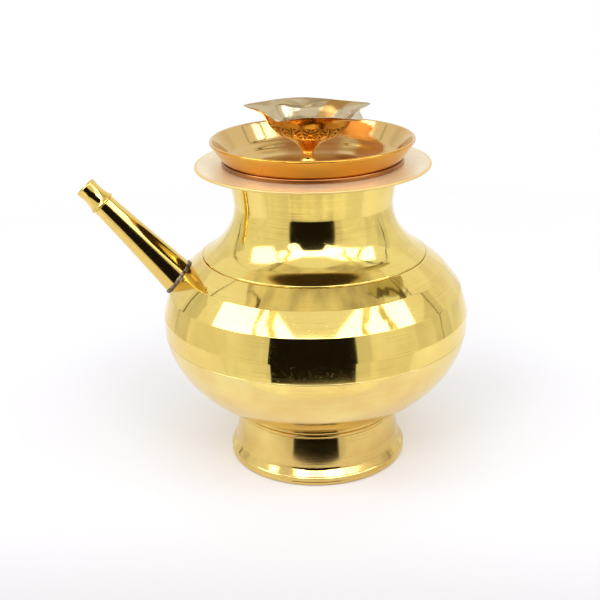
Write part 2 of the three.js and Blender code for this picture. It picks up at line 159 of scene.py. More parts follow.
def filled(points: Array, spacing: float) -> Array:
    """Adds points along the straight stretches of a profile.

    Args:
        points: the profile's corners.
        spacing: how far apart two neighbours are at most.

    Returns:
        The profile with its added points.
    """
    lengths = np.linalg.norm(np.diff(points, axis=0), axis=1)
    counts = np.maximum(1, np.ceil(lengths / spacing).astype(int))
    sides = zip(points[:-1], points[1:], counts)
    stretches = [steps(0.0, 1.0, n + 1)[:-1, None] * (b - a) + a for a, b, n in sides]
    return np.concatenate([*stretches, points[-1:]])


def arc(centre: tuple[float, float], radius: float, start: float, end: float, count: int) -> Array:
    """A round stretch of a profile: centre + radius (cos a, sin a) for angles in degrees."""
    swing = np.radians(steps(start, end, count))
    return np.array(centre) + radius * np.stack([np.cos(swing), np.sin(swing)], axis=1)


def ripple(angle: Array, height: Array, depth: float, seed: int) -> Array:
    """The slight unevenness of hand-finished metal: a sum of nine slow waves round and up.

    Args:
        angle: angles about the axis, in radians.
        height: heights, in millimetres.
        depth: how deep the waves go.
        seed: which set of waves.

    Returns:
        Depths between -depth and 0, so that the metal never grows.
    """
    count = 9
    draw = np.random.default_rng(SEED + seed)
    turns = draw.integers(1, 12, count)
    rises = draw.uniform(0.02, 0.22, count)
    shifts = draw.uniform(0.0, math.tau, count)
    waves = [np.cos(n * angle + k * height + s) / count for n, k, s in zip(turns, rises, shifts)]
    return depth * (np.sum(waves, axis=0) - 1.0) / 2.0


def angles(sides: int) -> Array:
    """The angles of a full turn, one for each side."""
    return steps(0.0, math.tau, sides + 1)[:-1]


def revolved(profile: Array, sides: int) -> Array:
    """Turns a profile about the Z axis: x = r cos a, y = r sin a, z = height.

    Args:
        profile: pairs of radius and height.
        sides: how many sides the full turn has.

    Returns:
        A grid of points, one row for each pair and one column for each side.
    """
    turn = angles(sides)
    radius, height = profile[:, :1], profile[:, 1:]
    return np.stack([radius * np.cos(turn), radius * np.sin(turn), height + 0.0 * turn], axis=-1)


def run_of(profile: Array) -> Array:
    """The length along a profile up to each of its points."""
    return np.concatenate([[0.0], np.cumsum(np.linalg.norm(np.diff(profile, axis=0), axis=1))])


def placed(points: Array, axes: Array, origin: Array) -> Array:
    """Moves points from a local frame, whose axes are the rows of axes, to its origin."""
    return points @ axes + origin


# Meshes


def ring_faces(number: Array) -> Array:
    """Four-sided faces between the neighbours of a grid of point numbers.

    Args:
        number: the grid's point numbers, whose columns close into a ring.

    Returns:
        One row of four point numbers for each face.
    """
    right = np.roll(number, -1, axis=1)
    return np.stack([number[:-1], right[:-1], right[1:], number[1:]], axis=-1).reshape(-1, 4)


def joined(faces: Array) -> list[tuple[int, ...]]:
    """The faces as tuples, where a side that has shrunk to a point is left out."""
    return [tuple(dict.fromkeys(face)) for face in faces.tolist()]


def enclosed(mesh: bpy.types.Mesh) -> float:
    """The volume that a closed mesh holds: a sixth of the sum of a . (b x c) over its triangles.

    Args:
        mesh: the closed mesh.

    Returns:
        The volume, negative if the faces point inwards.
    """
    mesh.calc_loop_triangles()
    points = np.empty(len(mesh.vertices) * 3)
    mesh.vertices.foreach_get("co", points)
    corners = np.empty(len(mesh.loop_triangles) * 3, dtype=np.int32)
    mesh.loop_triangles.foreach_get("vertices", corners)
    a, b, c = points.reshape(-1, 3)[corners.reshape(-1, 3)].transpose(1, 0, 2)
    return float(np.sum(a * np.cross(b, c)) / 6.0)


@dataclass
class Piece:
    """One piece of the pot: a grid of points that closes into a skin, with its finish and body.

    The grid's columns always close into a ring. Its rows either close into a ring as well, or
    start and end at a pole on the axis. The run is the length along the profile, and the shade
    and the lining say how much of the finish's other two colours the metal takes.
    """

    name: str
    node: str
    body: Body
    slot: str
    points: Array
    run: Array
    finish: bpy.types.Material
    poles: tuple[bool, bool] = (False, False)
    shade: Array | None = None
    lining: Array | None = None

    def faces(self) -> tuple[list[tuple[int, ...]], Array]:
        """Joins neighbouring points of the grid with faces.

        Returns:
            The faces, as tuples of point numbers, and the numbers of the grid's points in use.
        """
        rows, columns = self.points.shape[:2]
        number = np.arange(rows * columns).reshape(rows, columns)
        first, last = self.poles
        if first:
            number[0] = number[0, 0]
        if last:
            number[-1] = number[-1, 0]
        wrapped = number if first or last else np.vstack([number, number[:1]])
        kept, flat = np.unique(ring_faces(wrapped), return_inverse=True)
        return joined(flat.reshape(-1, 4)), kept

    def mesh(self) -> bpy.types.Mesh:
        """Makes the piece's mesh from its grid.

        Returns:
            The mesh, smooth, in metres, with its faces outwards and its stored numbers.
        """
        faces, kept = self.faces()
        flat = self.points.reshape(-1, 3)[kept]
        made = bpy.data.meshes.new(self.name)
        made.from_pydata((flat * MM).tolist(), [], faces)
        made.polygons.foreach_set("use_smooth", np.ones(len(made.polygons), dtype=bool))
        plain = np.zeros(self.points.shape[:2])
        labelled = {"run": self.run[:, None], "shade": self.shade, "lining": self.lining}
        for label, values in labelled.items():
            spread = plain if values is None else plain + values
            stored = made.attributes.new(label, "FLOAT", "POINT")
            stored.data.foreach_set("value", spread.reshape(-1)[kept].astype(np.float32))
        if enclosed(made) < 0.0:
            made.flip_normals()
        made.update()
        return made

    def build(self) -> None:
        """Adds the piece to the scene on its body, in place of its CAD node."""
        built = bpy.data.objects.new(self.name, self.mesh())
        bpy.context.scene.collection.objects.link(built)
        built.data.materials.append(self.finish)
        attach(built, self.body.value)
        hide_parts(self.node)
        log.info("%s: %d faces on %s", self.name, len(built.data.polygons), self.body.value)


# Finishes


def dimmed(colour: Colour, share: float) -> Colour:
    """A colour at a share of its brightness."""
    return tuple(share * part for part in colour)


@dataclass(frozen=True)
class Pattern:
    """Noise cut to a pattern, which starts where the noise is at low and is full at high."""

    scale: float
    detail: float
    low: float
    high: float


class Graph:
    """A node tree, with short calls for the nodes that the finishes and the studio share."""

    def __init__(self, owner: bpy.types.ID, output: str = "ShaderNodeOutputMaterial") -> None:
        """Empties the owner's node tree and starts it again with its output.

        Args:
            owner: the material or the world that the tree belongs to.
            output: the output node's type.
        """
        self.owner = owner
        self.owner.use_nodes = True
        self.tree = owner.node_tree
        self.tree.nodes.clear()
        self.output = self.tree.nodes.new(output)

    def node(self, kind: str, inputs: dict[str | int, Value], **settings: object) -> bpy.types.Node:
        """Adds one node.

        Args:
            kind: the node's type.
            inputs: a socket to link, or a plain value, for each input.
            settings: the node's own settings.

        Returns:
            The node.
        """
        made = self.tree.nodes.new(kind)
        for key, value in settings.items():
            setattr(made, key, value)
        for key, value in inputs.items():
            if isinstance(value, Socket):
                self.tree.links.new(value, made.inputs[key])
            else:
                made.inputs[key].default_value = (*value, 1.0) if isinstance(value, tuple) else value
        return made

    def point(self) -> Socket:
        """The place on the object, in metres."""
        return self.node("ShaderNodeTexCoord", {}).outputs["Object"]

    def stored(self, name: str) -> Socket:
        """A number that the mesh stores at its points."""
        return self.node("ShaderNodeAttribute", {}, attribute_name=name).outputs["Fac"]

    def noise(self, scale: float, detail: float) -> Socket:
        """Cloudy noise in space, about 0.5 on average."""
        inputs = {"Vector": self.point(), "Scale": scale, "Detail": detail, "Roughness": 0.6}
        return self.node("ShaderNodeTexNoise", inputs).outputs["Fac"]

    def lines(self, along: Value, scale: float, detail: float) -> Socket:
        """Noise along one number only, which draws turned lines on a lathe-made piece."""
        inputs = {"W": along, "Scale": scale, "Detail": detail, "Roughness": 0.7}
        return self.node("ShaderNodeTexNoise", inputs, noise_dimensions="1D").outputs["Fac"]

    def clouds(self, pattern: Pattern) -> Socket:
        """A pattern of noise in space, from 0 to 1."""
        return self.remap(self.noise(pattern.scale, pattern.detail), pattern.low, pattern.high)

    def rings(self, along: Value, pattern: Pattern) -> Socket:
        """A pattern of turned lines along one number, from 0 to 1."""
        return self.remap(self.lines(along, pattern.scale, pattern.detail), pattern.low, pattern.high)

    def math(self, kind: str, a: Value, b: Value = 0.0, c: Value = 0.0) -> Socket:
        """One sum, product or maximum of two or three numbers."""
        return self.node("ShaderNodeMath", {0: a, 1: b, 2: c}, operation=kind).outputs[0]

    def remap(self, value: Value, low: float, high: float, start: float = 0.0, end: float = 1.0) -> Socket:
        """Carries low to high over to start to end, and holds it there beyond them."""
        inputs = {"Value": value, "From Min": low, "From Max": high, "To Min": start, "To Max": end}
        return self.node("ShaderNodeMapRange", inputs).outputs["Result"]

    def mix(self, share: Value, a: Value, b: Value) -> Socket:
        """A colour between a and b."""
        return self.node("ShaderNodeMix", {0: share, 6: a, 7: b}, data_type="RGBA").outputs[2]

    def either(self, share: Value, a: bpy.types.Node, b: bpy.types.Node) -> Socket:
        """A shader between those of the nodes a and b."""
        inputs = {0: share, 1: a.outputs[0], 2: b.outputs[0]}
        return self.node("ShaderNodeMixShader", inputs).outputs[0]

    def bump(self, height: Value, distance: float, normal: Value | None = None) -> Socket:
        """Tilts a normal by a height.

        Args:
            height: the height at each place.
            distance: what a height of 1 stands for, in metres.
            normal: the normal that is tilted, or else the mesh's own.

        Returns:
            The tilted normal.
        """
        inputs: dict[str | int, Value] = {"Height": height, "Distance": distance, "Strength": 1.0}
        if normal is not None:
            inputs["Normal"] = normal
        return self.node("ShaderNodeBump", inputs).outputs["Normal"]

    def surface(self, shader: Socket) -> bpy.types.ID:
        """Makes shader the owner's surface and returns the owner."""
        self.tree.links.new(shader, self.output.inputs["Surface"])
        return self.owner


@dataclass(frozen=True)
class TurnedMetal:
    """Metal turned or spun on a lathe and polished: fine rings, warm streaks, clouding and pits.

    Colours are linear. Lengths are in millimetres. Where the mesh stores a lining, the metal
    takes the lining's colour. Where it stores a shade, it darkens to the shaded colour and
    loses its gloss.
    """

    name: str
    colour: Colour
    tarnish: Colour
    gloss: float
    line_pitch: float = 0.5
    line_depth: float = 0.0006
    clouding: float = 0.35
    shaded: Colour = (0.1, 0.04, 0.012)
    lining: Colour = (0.8, 0.6, 0.35)
    streaks: float = 0.3
    haze: float = 0.12
    metallic: float = 1.0
    grain: float = 0.0
    wander: float = 0.7
    band_stain: float = 0.12
    pit_stain: float = 0.4
    pit_depth: float = 0.01
    worn_lining: float = 0.8
    shaded_haze: float = 0.35
    bands: Pattern = Pattern(scale=0.16, detail=2.0, low=0.35, high=0.65)
    brushing: Pattern = Pattern(scale=1.6, detail=4.0, low=0.52, high=0.66)
    patches: Pattern = Pattern(scale=55.0, detail=3.0, low=0.48, high=0.6)
    cloud: Pattern = Pattern(scale=34.0, detail=5.0, low=0.4, high=0.72)
    pits: Pattern = Pattern(scale=1500.0, detail=2.0, low=0.68, high=0.78)

    def build(self) -> bpy.types.Material:
        """Makes the material.

        Returns:
            The material, whose rings follow the length along the profile that the mesh stores.
        """
        graph = Graph(bpy.data.materials.new(self.name))
        shade, lining = graph.stored("shade"), graph.stored("lining")
        sway = graph.noise(scale=28.0, detail=2.0)
        track = graph.math("MULTIPLY_ADD", sway, self.wander, graph.stored("run"))
        fine = graph.lines(track, scale=1.0 / self.line_pitch, detail=3.0)
        pits = graph.clouds(self.pits)
        brushed = graph.math("MULTIPLY", graph.rings(track, self.brushing), graph.clouds(self.patches))
        stain = graph.math("MULTIPLY", graph.clouds(self.cloud), self.clouding)
        stain = graph.math("MULTIPLY_ADD", pits, self.pit_stain, stain)
        stain = graph.math("MULTIPLY_ADD", graph.rings(track, self.bands), self.band_stain, stain)
        stain = graph.math("MULTIPLY_ADD", brushed, self.streaks, stain)
        plain = graph.mix(lining, self.colour, self.lining)
        worn = graph.mix(lining, self.tarnish, dimmed(self.lining, self.worn_lining))
        colour = graph.mix(shade, graph.mix(stain, plain, worn), self.shaded)
        rough = graph.math("MULTIPLY_ADD", stain, self.haze, self.gloss)
        rough = graph.math("MULTIPLY_ADD", fine, self.gloss / 2.0, rough)
        rough = graph.math("MULTIPLY_ADD", shade, self.shaded_haze, rough)
        normal = graph.bump(pits, -self.pit_depth * MM, graph.bump(fine, self.line_depth * MM))
        inputs = {"Base Color": colour, "Roughness": rough, "Metallic": self.metallic,
                  "Anisotropic": self.grain, "Normal": normal}
        return graph.surface(graph.node("ShaderNodeBsdfPrincipled", inputs).outputs["BSDF"])


@dataclass(frozen=True)
class SolderCrust:
    """Dull hard solder: mottled grey-brown metal with a lumpy, pitted skin."""

    name: str
    colour: Colour
    burnt: Colour
    metallic: float = 0.85
    grit_height: float = 0.25
    mottle: Pattern = Pattern(scale=420.0, detail=4.0, low=0.4, high=0.62)

    def build(self) -> bpy.types.Material:
        """Makes the material.

        Returns:
            The material.
        """
        graph = Graph(bpy.data.materials.new(self.name))
        grit = graph.noise(scale=1900.0, detail=3.0)
        rough = graph.remap(grit, low=0.3, high=0.7, start=0.35, end=0.65)
        colour = graph.mix(graph.clouds(self.mottle), self.colour, self.burnt)
        inputs = {"Base Color": colour, "Roughness": rough, "Metallic": self.metallic,
                  "Normal": graph.bump(grit, self.grit_height * MM)}
        return graph.surface(graph.node("ShaderNodeBsdfPrincipled", inputs).outputs["BSDF"])


@dataclass(frozen=True)
class PaleTable:
    """The plain white table: matt and faintly uneven, fading away all round.

    Lengths are in millimetres: the table is whole up to clear_radius and gone at faded_radius, and its
    colour goes over to a darker second colour between the two near depths before the pot's axis: a painted
    shade on the front, which the lamps light more.
    In the metal's mirror it ends at front, within a soft edge, where the dark opening begins.
    """

    name: str
    colour: Colour
    painted_shade_colour: Colour
    clear_radius: float
    faded_radius: float
    near_depths: tuple[float, float]
    front: float
    soft_edge: float = 4.0
    dullest: float = 0.985
    tint: Pattern = Pattern(scale=9.0, detail=4.0, low=0.3, high=0.7)

    def build(self) -> bpy.types.Material:
        """Makes the material.

        Returns:
            The material, see-through beyond the faded radius.
        """
        graph = Graph(bpy.data.materials.new(self.name))
        place = graph.point()
        reach = graph.node("ShaderNodeVectorMath", {0: place}, operation="LENGTH").outputs["Value"]
        depth = graph.node("ShaderNodeSeparateXYZ", {0: place}).outputs["Y"]
        around = graph.remap(reach, self.clear_radius * MM, self.faded_radius * MM)
        ahead = graph.remap(depth, -(self.front + self.soft_edge) * MM, -self.front * MM, 1.0, 0.0)
        mirrored = graph.node("ShaderNodeLightPath", {}).outputs["Is Glossy Ray"]
        faded = graph.math("MAXIMUM", around, graph.math("MULTIPLY", ahead, mirrored))
        # A painted shade: the front of the table, which the lamps light more, is coloured darker.
        near = graph.remap(depth, -self.near_depths[1] * MM, -self.near_depths[0] * MM, 1.0, 0.0)
        plain = graph.mix(near, self.colour, self.painted_shade_colour)
        dull = graph.mix(near, dimmed(self.colour, self.dullest), dimmed(self.painted_shade_colour, self.dullest))
        paper = graph.mix(graph.clouds(self.tint), plain, dull)
        table = graph.node("ShaderNodeBsdfDiffuse", {"Color": paper, "Roughness": 0.0})
        return graph.surface(graph.either(faded, table, graph.node("ShaderNodeBsdfTransparent", {})))


@dataclass(frozen=True)
class StudioCard:
    """A matt card of the studio that gives a plain light of its own, faintly uneven."""

    name: str
    light: Colour
    dimmest: float = 0.8
    grain: float = 5.0

    def build(self) -> bpy.types.Material:
        """Makes the material.

        Returns:
            The material.
        """
        graph = Graph(bpy.data.materials.new(self.name))
        uneven = graph.clouds(Pattern(self.grain, detail=3.0, low=0.4, high=0.62))
        colour = graph.mix(uneven, self.light, dimmed(self.light, self.dimmest))
        return graph.surface(graph.node("ShaderNodeEmission", {"Color": colour}).outputs[0])


@dataclass
class Finishes:
    """The finishes of the set, each made into a material once and shared by its pieces."""

    belly: bpy.types.Material = field(default_factory=TurnedMetal(
        "mirror_turned_brass", (0.87, 0.68, 0.2), (0.72, 0.47, 0.12), gloss=0.03,
        line_pitch=0.55, line_depth=0.0005, clouding=0.4, streaks=0.7).build)
    bowl: bpy.types.Material = field(default_factory=TurnedMetal(
        "polished_bowl_brass", (0.88, 0.72, 0.27), (0.8, 0.54, 0.18), gloss=0.1,
        line_pitch=0.6, line_depth=0.0007, clouding=0.8, streaks=0.5).build)
    neck: bpy.types.Material = field(default_factory=TurnedMetal(
        "spun_brass", (0.87, 0.69, 0.2), (0.72, 0.48, 0.12), gloss=0.05,
        line_pitch=0.7, line_depth=0.0035, clouding=0.4, streaks=0.6).build)
    foot: bpy.types.Material = field(default_factory=TurnedMetal(
        "turned_foot_brass", (0.82, 0.62, 0.2), (0.6, 0.37, 0.11), gloss=0.045,
        line_pitch=0.8, line_depth=0.004, clouding=0.6, streaks=0.7).build)
    flange: bpy.types.Material = field(default_factory=TurnedMetal(
        "satin_brass", (0.92, 0.81, 0.57), (0.86, 0.72, 0.44), gloss=0.22,
        line_pitch=0.6, line_depth=0.0008, clouding=0.4, shaded=(0.06, 0.035, 0.012),
        lining=(0.85, 0.62, 0.22), metallic=0.5, grain=0.7).build)
    spout: bpy.types.Material = field(default_factory=TurnedMetal(
        "spout_brass", (0.85, 0.63, 0.18), (0.68, 0.42, 0.1), gloss=0.055,
        line_depth=0.0018, clouding=0.4, streaks=0.5).build)
    solder: bpy.types.Material = field(default_factory=SolderCrust(
        "hard_solder", (0.4, 0.33, 0.28), (0.1, 0.065, 0.05)).build)
    # The dish's shaded colour is the red-brown of the painted reflections inside it.
    dish: bpy.types.Material = field(default_factory=TurnedMetal(
        "bronze_mirror", (0.8, 0.42, 0.07), (0.66, 0.26, 0.03), gloss=0.06,
        clouding=0.3, shaded=(0.34, 0.08, 0.006), lining=(0.7, 0.47, 0.18), streaks=0.4).build)
    # The ring's dark colour is a painted shade: it stands in for the shade in the crevice between the dish
    # and the flange.
    dish_ring: bpy.types.Material = field(default_factory=TurnedMetal(
        "dark_bronze", (0.42, 0.17, 0.05), (0.22, 0.08, 0.025), gloss=0.2,
        line_depth=0.002, clouding=0.5).build)
    lamp: bpy.types.Material = field(default_factory=TurnedMetal(
        "carved_copper", (0.93, 0.55, 0.14), (0.75, 0.35, 0.06), gloss=0.08,
        line_depth=0.001, lining=(0.6, 0.48, 0.29)).build)


# The pot, its dish and its lamp


@dataclass(frozen=True)
class PotForm:
    """The pot's outside: an elliptical bowl, four turned bands and a flared neck, in millimetres."""

    belly_radius: float = 70.0
    belly_height: float = 68.0
    half_depth: float = 50.0
    base_height: float = 25.0
    seam_height: float = 63.6
    ridge_heights: tuple[float, ...] = (63.6, 72.1, 82.7, 91.8, 99.1)
    ridge_radii: tuple[float, ...] = (69.73, 69.9, 66.7, 59.5, 50.6)
    band_bulges: tuple[float, ...] = (0.03, 0.1, 0.13, 0.1)
    throat_height: float = 122.5
    throat_radius: float = 35.7
    top_height: float = 139.0
    top_radius: float = 38.0
    shoulder_power: float = 2.25
    cove_depth: float = 0.45
    cove: Stretch = Stretch((0.0, 4.5), (4.5, 15.0))
    mouth_power: float = 1.05
    wall: float = 1.2

    def bowl(self, height: Array) -> Array:
        """Radius of the bowl: an ellipse, r = R sqrt(1 - ((H - z) / D)^2)."""
        drop = (self.belly_height - height) / self.half_depth
        return self.belly_radius * np.sqrt(np.clip(1.0 - drop * drop, 0.0, 1.0))

    def bands(self, height: Array) -> Array:
        """Radius of the bands: straight cones between the ridges, each crowned by 4 b s (1 - s).

        Args:
            height: heights on the belly.

        Returns:
            The radius at each height.
        """
        straight = np.interp(height, self.ridge_heights, self.ridge_radii)
        band = np.clip(np.searchsorted(self.ridge_heights, height) - 1, 0, len(self.band_bulges) - 1)
        low, high = np.array(self.ridge_heights)[band], np.array(self.ridge_heights)[band + 1]
        share = np.clip((height - low) / (high - low), 0.0, 1.0)
        return straight + 4.0 * np.array(self.band_bulges)[band] * share * (1.0 - share)

    def neck(self, height: Array) -> Array:
        """Radius of the neck: the throat's, plus powers of the way down and up, less a cove.

        Args:
            height: heights on the neck.

        Returns:
            The radius at each height.
        """
        shoulder, radius = self.ridge_heights[-1], self.ridge_radii[-1]
        down = np.clip((self.throat_height - height) / (self.throat_height - shoulder), 0.0, None)
        up = np.clip((height - self.throat_height) / (self.top_height - self.throat_height), 0.0, None)
        swell = (radius - self.throat_radius) * down**self.shoulder_power
        flare = (self.top_radius - self.throat_radius) * up**self.mouth_power
        return self.throat_radius + swell - self.cove_depth * self.cove.cover(height - shoulder) + flare

    def radius(self, height: Array) -> Array:
        """Radius of the outside at any height from the bowl's base to the neck's top."""
        lower = np.where(height <= self.seam_height, self.bowl(height), self.bands(height))
        return np.where(height >= self.ridge_heights[-1], self.neck(height), lower)

    def skin(self, heights: Array, depth: float) -> Array:
        """The outside, moved inwards along its normal (1, -dr/dz).

        Args:
            heights: where the profile's points are.
            depth: how far in they move.

        Returns:
            The profile, as pairs of radius and height.
        """
        step = 0.4  # how far to either side the slope is measured
        lean = (self.radius(heights + step) - self.radius(heights - step)) / (2.0 * step)
        normal = np.stack([np.ones_like(lean), -lean], axis=1) / np.sqrt(1.0 + lean * lean)[:, None]
        return np.stack([self.radius(heights), heights], axis=1) - depth * normal

    def outside(self, points: Array) -> Array:
        """How far points are outside the pot, measured level: negative inside."""
        return np.hypot(points[..., 0], points[..., 1]) - self.radius(points[..., 2])


@dataclass(frozen=True)
class Foot:
    """The foot: a turned base band, a flare with a skirt and a ring of two beads."""

    finishes: Finishes
    band_radius: float = 41.4
    band_height: float = 4.2
    band_wall: float = 2.3
    cone_slope: float = 0.1765
    skirt_slope: float = 0.74
    skirt_shares: tuple[float, float] = (0.79, 0.87)
    waist_radius: float = 36.4
    waist_height: float = 21.2
    waist_wall: float = 1.8
    bead_inset: float = 0.45
    top_height: float = 25.0
    wall: float = 1.2

    def band(self) -> Piece:
        """The base band, with a soft outer edge, a shallow groove and a flat underside.

        Returns:
            The piece.
        """
        outer, inner, top = self.band_radius, self.band_radius - self.band_wall, self.band_height
        corners = outline(
            (inner + 0.3, 0.0), (outer - 0.6, 0.0), (outer, 0.7), (outer - 0.05, 1.6), (outer - 0.22, 1.9),
            (outer - 0.05, 2.2), (outer, top - 0.7), (outer - 0.6, top), (inner, top), (inner, 0.3),
            (inner + 0.3, 0.0),
        )
        return self.turned("turned_foot_band", "foot_band", filled(softened(corners, 0.25), 0.5)[:-1])

    def flare(self) -> Piece:
        """The flare: a straight cone that turns out, four fifths of the way down, into a skirt.

        The radius is the sum of its slopes: the cone's, which changes smoothly to the skirt's.

        Returns:
            The piece.
        """
        heights = steps(self.band_height, self.waist_height, 90)
        share = (self.waist_height - heights) / (self.waist_height - self.band_height)
        skirt = smoothstep(share, *self.skirt_shares)
        slope = self.cone_slope + (self.skirt_slope - self.cone_slope) * skirt
        growth = np.cumsum((slope * (heights[1] - heights[0]))[::-1])[::-1]
        radii = self.waist_radius + growth
        outer = np.stack([radii, heights], axis=1)
        inner = np.stack([radii - self.wall, heights], axis=1)[::-1]
        return self.turned("flared_foot", "foot_flare", np.concatenate([outer, inner]))

    def beads(self) -> Piece:
        """The waist ring: two half-round beads with a groove between them.

        Returns:
            The piece.
        """
        bead = (self.top_height - self.waist_height) / 4.0
        centre, bore = self.waist_radius - self.bead_inset, self.waist_radius - self.waist_wall
        lower = arc((centre, self.waist_height + bead), bead, -90.0, 90.0, 15)
        upper = arc((centre, self.top_height - bead), bead, -90.0, 90.0, 15)
        inner = filled(outline((bore, self.top_height), (bore, self.waist_height)), 0.8)
        return self.turned("beaded_waist", "waist_ring", np.concatenate([lower, upper[1:], inner]))

    def turned(self, name: str, node: str, profile: Array) -> Piece:
        """One turned piece of the foot from its closed profile."""
        points = revolved(profile, POT_SIDES)
        return Piece(name, node, Body.POT, "polished_brass", points, run_of(profile), self.finishes.foot)

    def pieces(self) -> list[Piece]:
        """The foot's three pieces."""
        return [self.band(), self.flare(), self.beads()]


@dataclass(frozen=True)
class Vessel:
    """The vessel: the bowl, the banded belly, the neck and the flat flange round the mouth."""

    finishes: Finishes
    form: PotForm
    lap: float = 3.0
    gap: float = 0.15
    ripple_depth: float = 0.05
    flange_radius: float = 52.5
    flange_thickness: float = 1.2

    def spigot(self, height: float) -> Array:
        """The thin lip below a shell's lower edge, which laps inside the shell under it."""
        return self.form.skin(steps(height - self.lap, height, 8), (self.form.wall + self.gap) / 2.0)

    def socket(self, height: float) -> Array:
        """The step inside a shell's upper edge that takes the next shell's lip, from the top down."""
        depth = (self.form.wall - self.gap) / 2.0
        return self.form.skin(steps(height - self.lap - self.gap, height - self.gap, 8), depth)[::-1]

    def shell(self, name: str, node: str, slot: str, profile: Array, finish: bpy.types.Material,
              seed: int, sides: int = POT_SIDES, poles: tuple[bool, bool] = (False, False)) -> Piece:
        """One thin shell turned from its profile and made slightly uneven.

        Args:
            name: the piece's name.
            node: the CAD node that it stands for.
            slot: a material slot's name, which the piece keeps but nothing uses.
            profile: pairs of radius and height.
            finish: the piece's material.
            seed: which set of waves makes it uneven.
            sides: how many sides the full turn has.
            poles: whether the profile starts and ends on the axis.

        Returns:
            The piece.
        """
        points = revolved(profile, sides)
        radius, height = profile[:, :1], profile[:, 1:]
        wave = ripple(angles(sides)[None, :], height, self.ripple_depth, seed)
        growth = wave * smoothstep(radius, 4.0, 20.0) / np.maximum(radius, TINY)
        points[..., :2] *= (1.0 + growth)[..., None]
        return Piece(name, node, Body.POT, slot, points, run_of(profile), finish, poles)

    def bowl(self) -> Piece:
        """The bowl: an elliptical cup with a flat underside that carries a turned centre ring.

        Returns:
            The piece.
        """
        form = self.form
        base = form.base_height
        outer = form.skin(steps(base + 0.6, form.seam_height - self.gap, 90), 0.0)
        ledge = form.seam_height - self.lap - self.gap
        inner = form.skin(steps(base + 2.0, ledge, 60), form.wall)[::-1]
        flat = outer[0, 0] - 1.2
        rings = outline((0.0, base + 0.35), (0.7, base + 0.3), (1.2, base), (11.6, base),
                        (12.0, base + 0.25), (12.5, base + 0.25), (12.9, base), (flat, base))
        under = filled(softened(rings, 0.3), 1.2)
        floor = filled(outline((flat, base + form.wall), (0.0, base + form.wall)), 1.5)
        profile = np.concatenate([under, outer, self.socket(form.seam_height), inner, floor])
        return self.shell("round_bowl", "lower_bowl", "polished_brass", profile, self.finishes.bowl, 11,
                          poles=(True, True))

    def belly(self) -> Piece:
        """The belly: four crowned bands that meet in crisp turned ridges.

        Returns:
            The piece.
        """
        form = self.form
        shoulder = form.ridge_heights[-1]
        bands = [steps(low, high, 26) for low, high in zip(form.ridge_heights, form.ridge_heights[1:])]
        heights = np.unique(np.concatenate(bands))
        heights = heights[heights <= shoulder - self.gap]
        outer = softened(np.stack([form.bands(heights), heights], axis=1), 0.22, 3)
        inner_heights = steps(form.seam_height - self.lap, shoulder - self.lap - self.gap, 60)
        inner = form.skin(inner_heights, form.wall)[::-1]
        profile = np.concatenate([outer, self.socket(shoulder), inner, self.spigot(form.seam_height)])
        return self.shell("banded_belly", "belly_shell", "polished_brass", profile, self.finishes.belly,
                          12, BELLY_SIDES)

    def neck(self) -> Piece:
        """The neck: a shoulder that sweeps up into the throat, and a flare up to the flange.

        Returns:
            The piece.
        """
        form = self.form
        shoulder = form.ridge_heights[-1]
        heights = steps(shoulder, form.top_height, 110)
        inner_heights = np.concatenate([steps(shoulder - self.lap, shoulder, 8), heights[1:-4]])
        edge = outline((form.top_radius - form.wall, form.top_height))
        profile = np.concatenate([form.skin(heights, 0.0), edge, form.skin(inner_heights, form.wall)[::-1],
                                  self.spigot(shoulder)])
        return self.shell("shoulder_and_neck", "neck_shell", "spun_brass", profile, self.finishes.neck, 13)

    def flange(self) -> Piece:
        """The flange: a flat disc with a rounded rim, pale above, gilt at its edge, dark and dull
        underneath.

        Returns:
            The piece.
        """
        half = self.flange_thickness / 2.0
        low, high = self.form.top_height, self.form.top_height + self.flange_thickness
        mouth, edge = self.form.top_radius - self.form.wall, self.flange_radius - half
        rim = arc((edge, low + half), half, -90.0, 90.0, 11)
        under = filled(outline((mouth, low), (edge - 0.05, low)), 1.0)
        top = filled(outline((edge - 0.05, high), (mouth + 0.3, high), (mouth, high - 0.3)), 1.0)
        profile = np.concatenate([under, rim, top])
        inset = self.flange_radius - profile[:, :1]
        shade = (profile[:, 1:] < low + 0.2) * smoothstep(inset, 0.4, 1.6)
        gilt = 1.0 - smoothstep(inset, 0.4, 1.1)
        return Piece("mouth_flange", "rim_flange", Body.POT, "satin_brass", revolved(profile, POT_SIDES),
                     run_of(profile), self.finishes.flange, shade=shade, lining=gilt)

    def pieces(self) -> list[Piece]:
        """The vessel's four pieces."""
        return [self.bowl(), self.belly(), self.neck(), self.flange()]


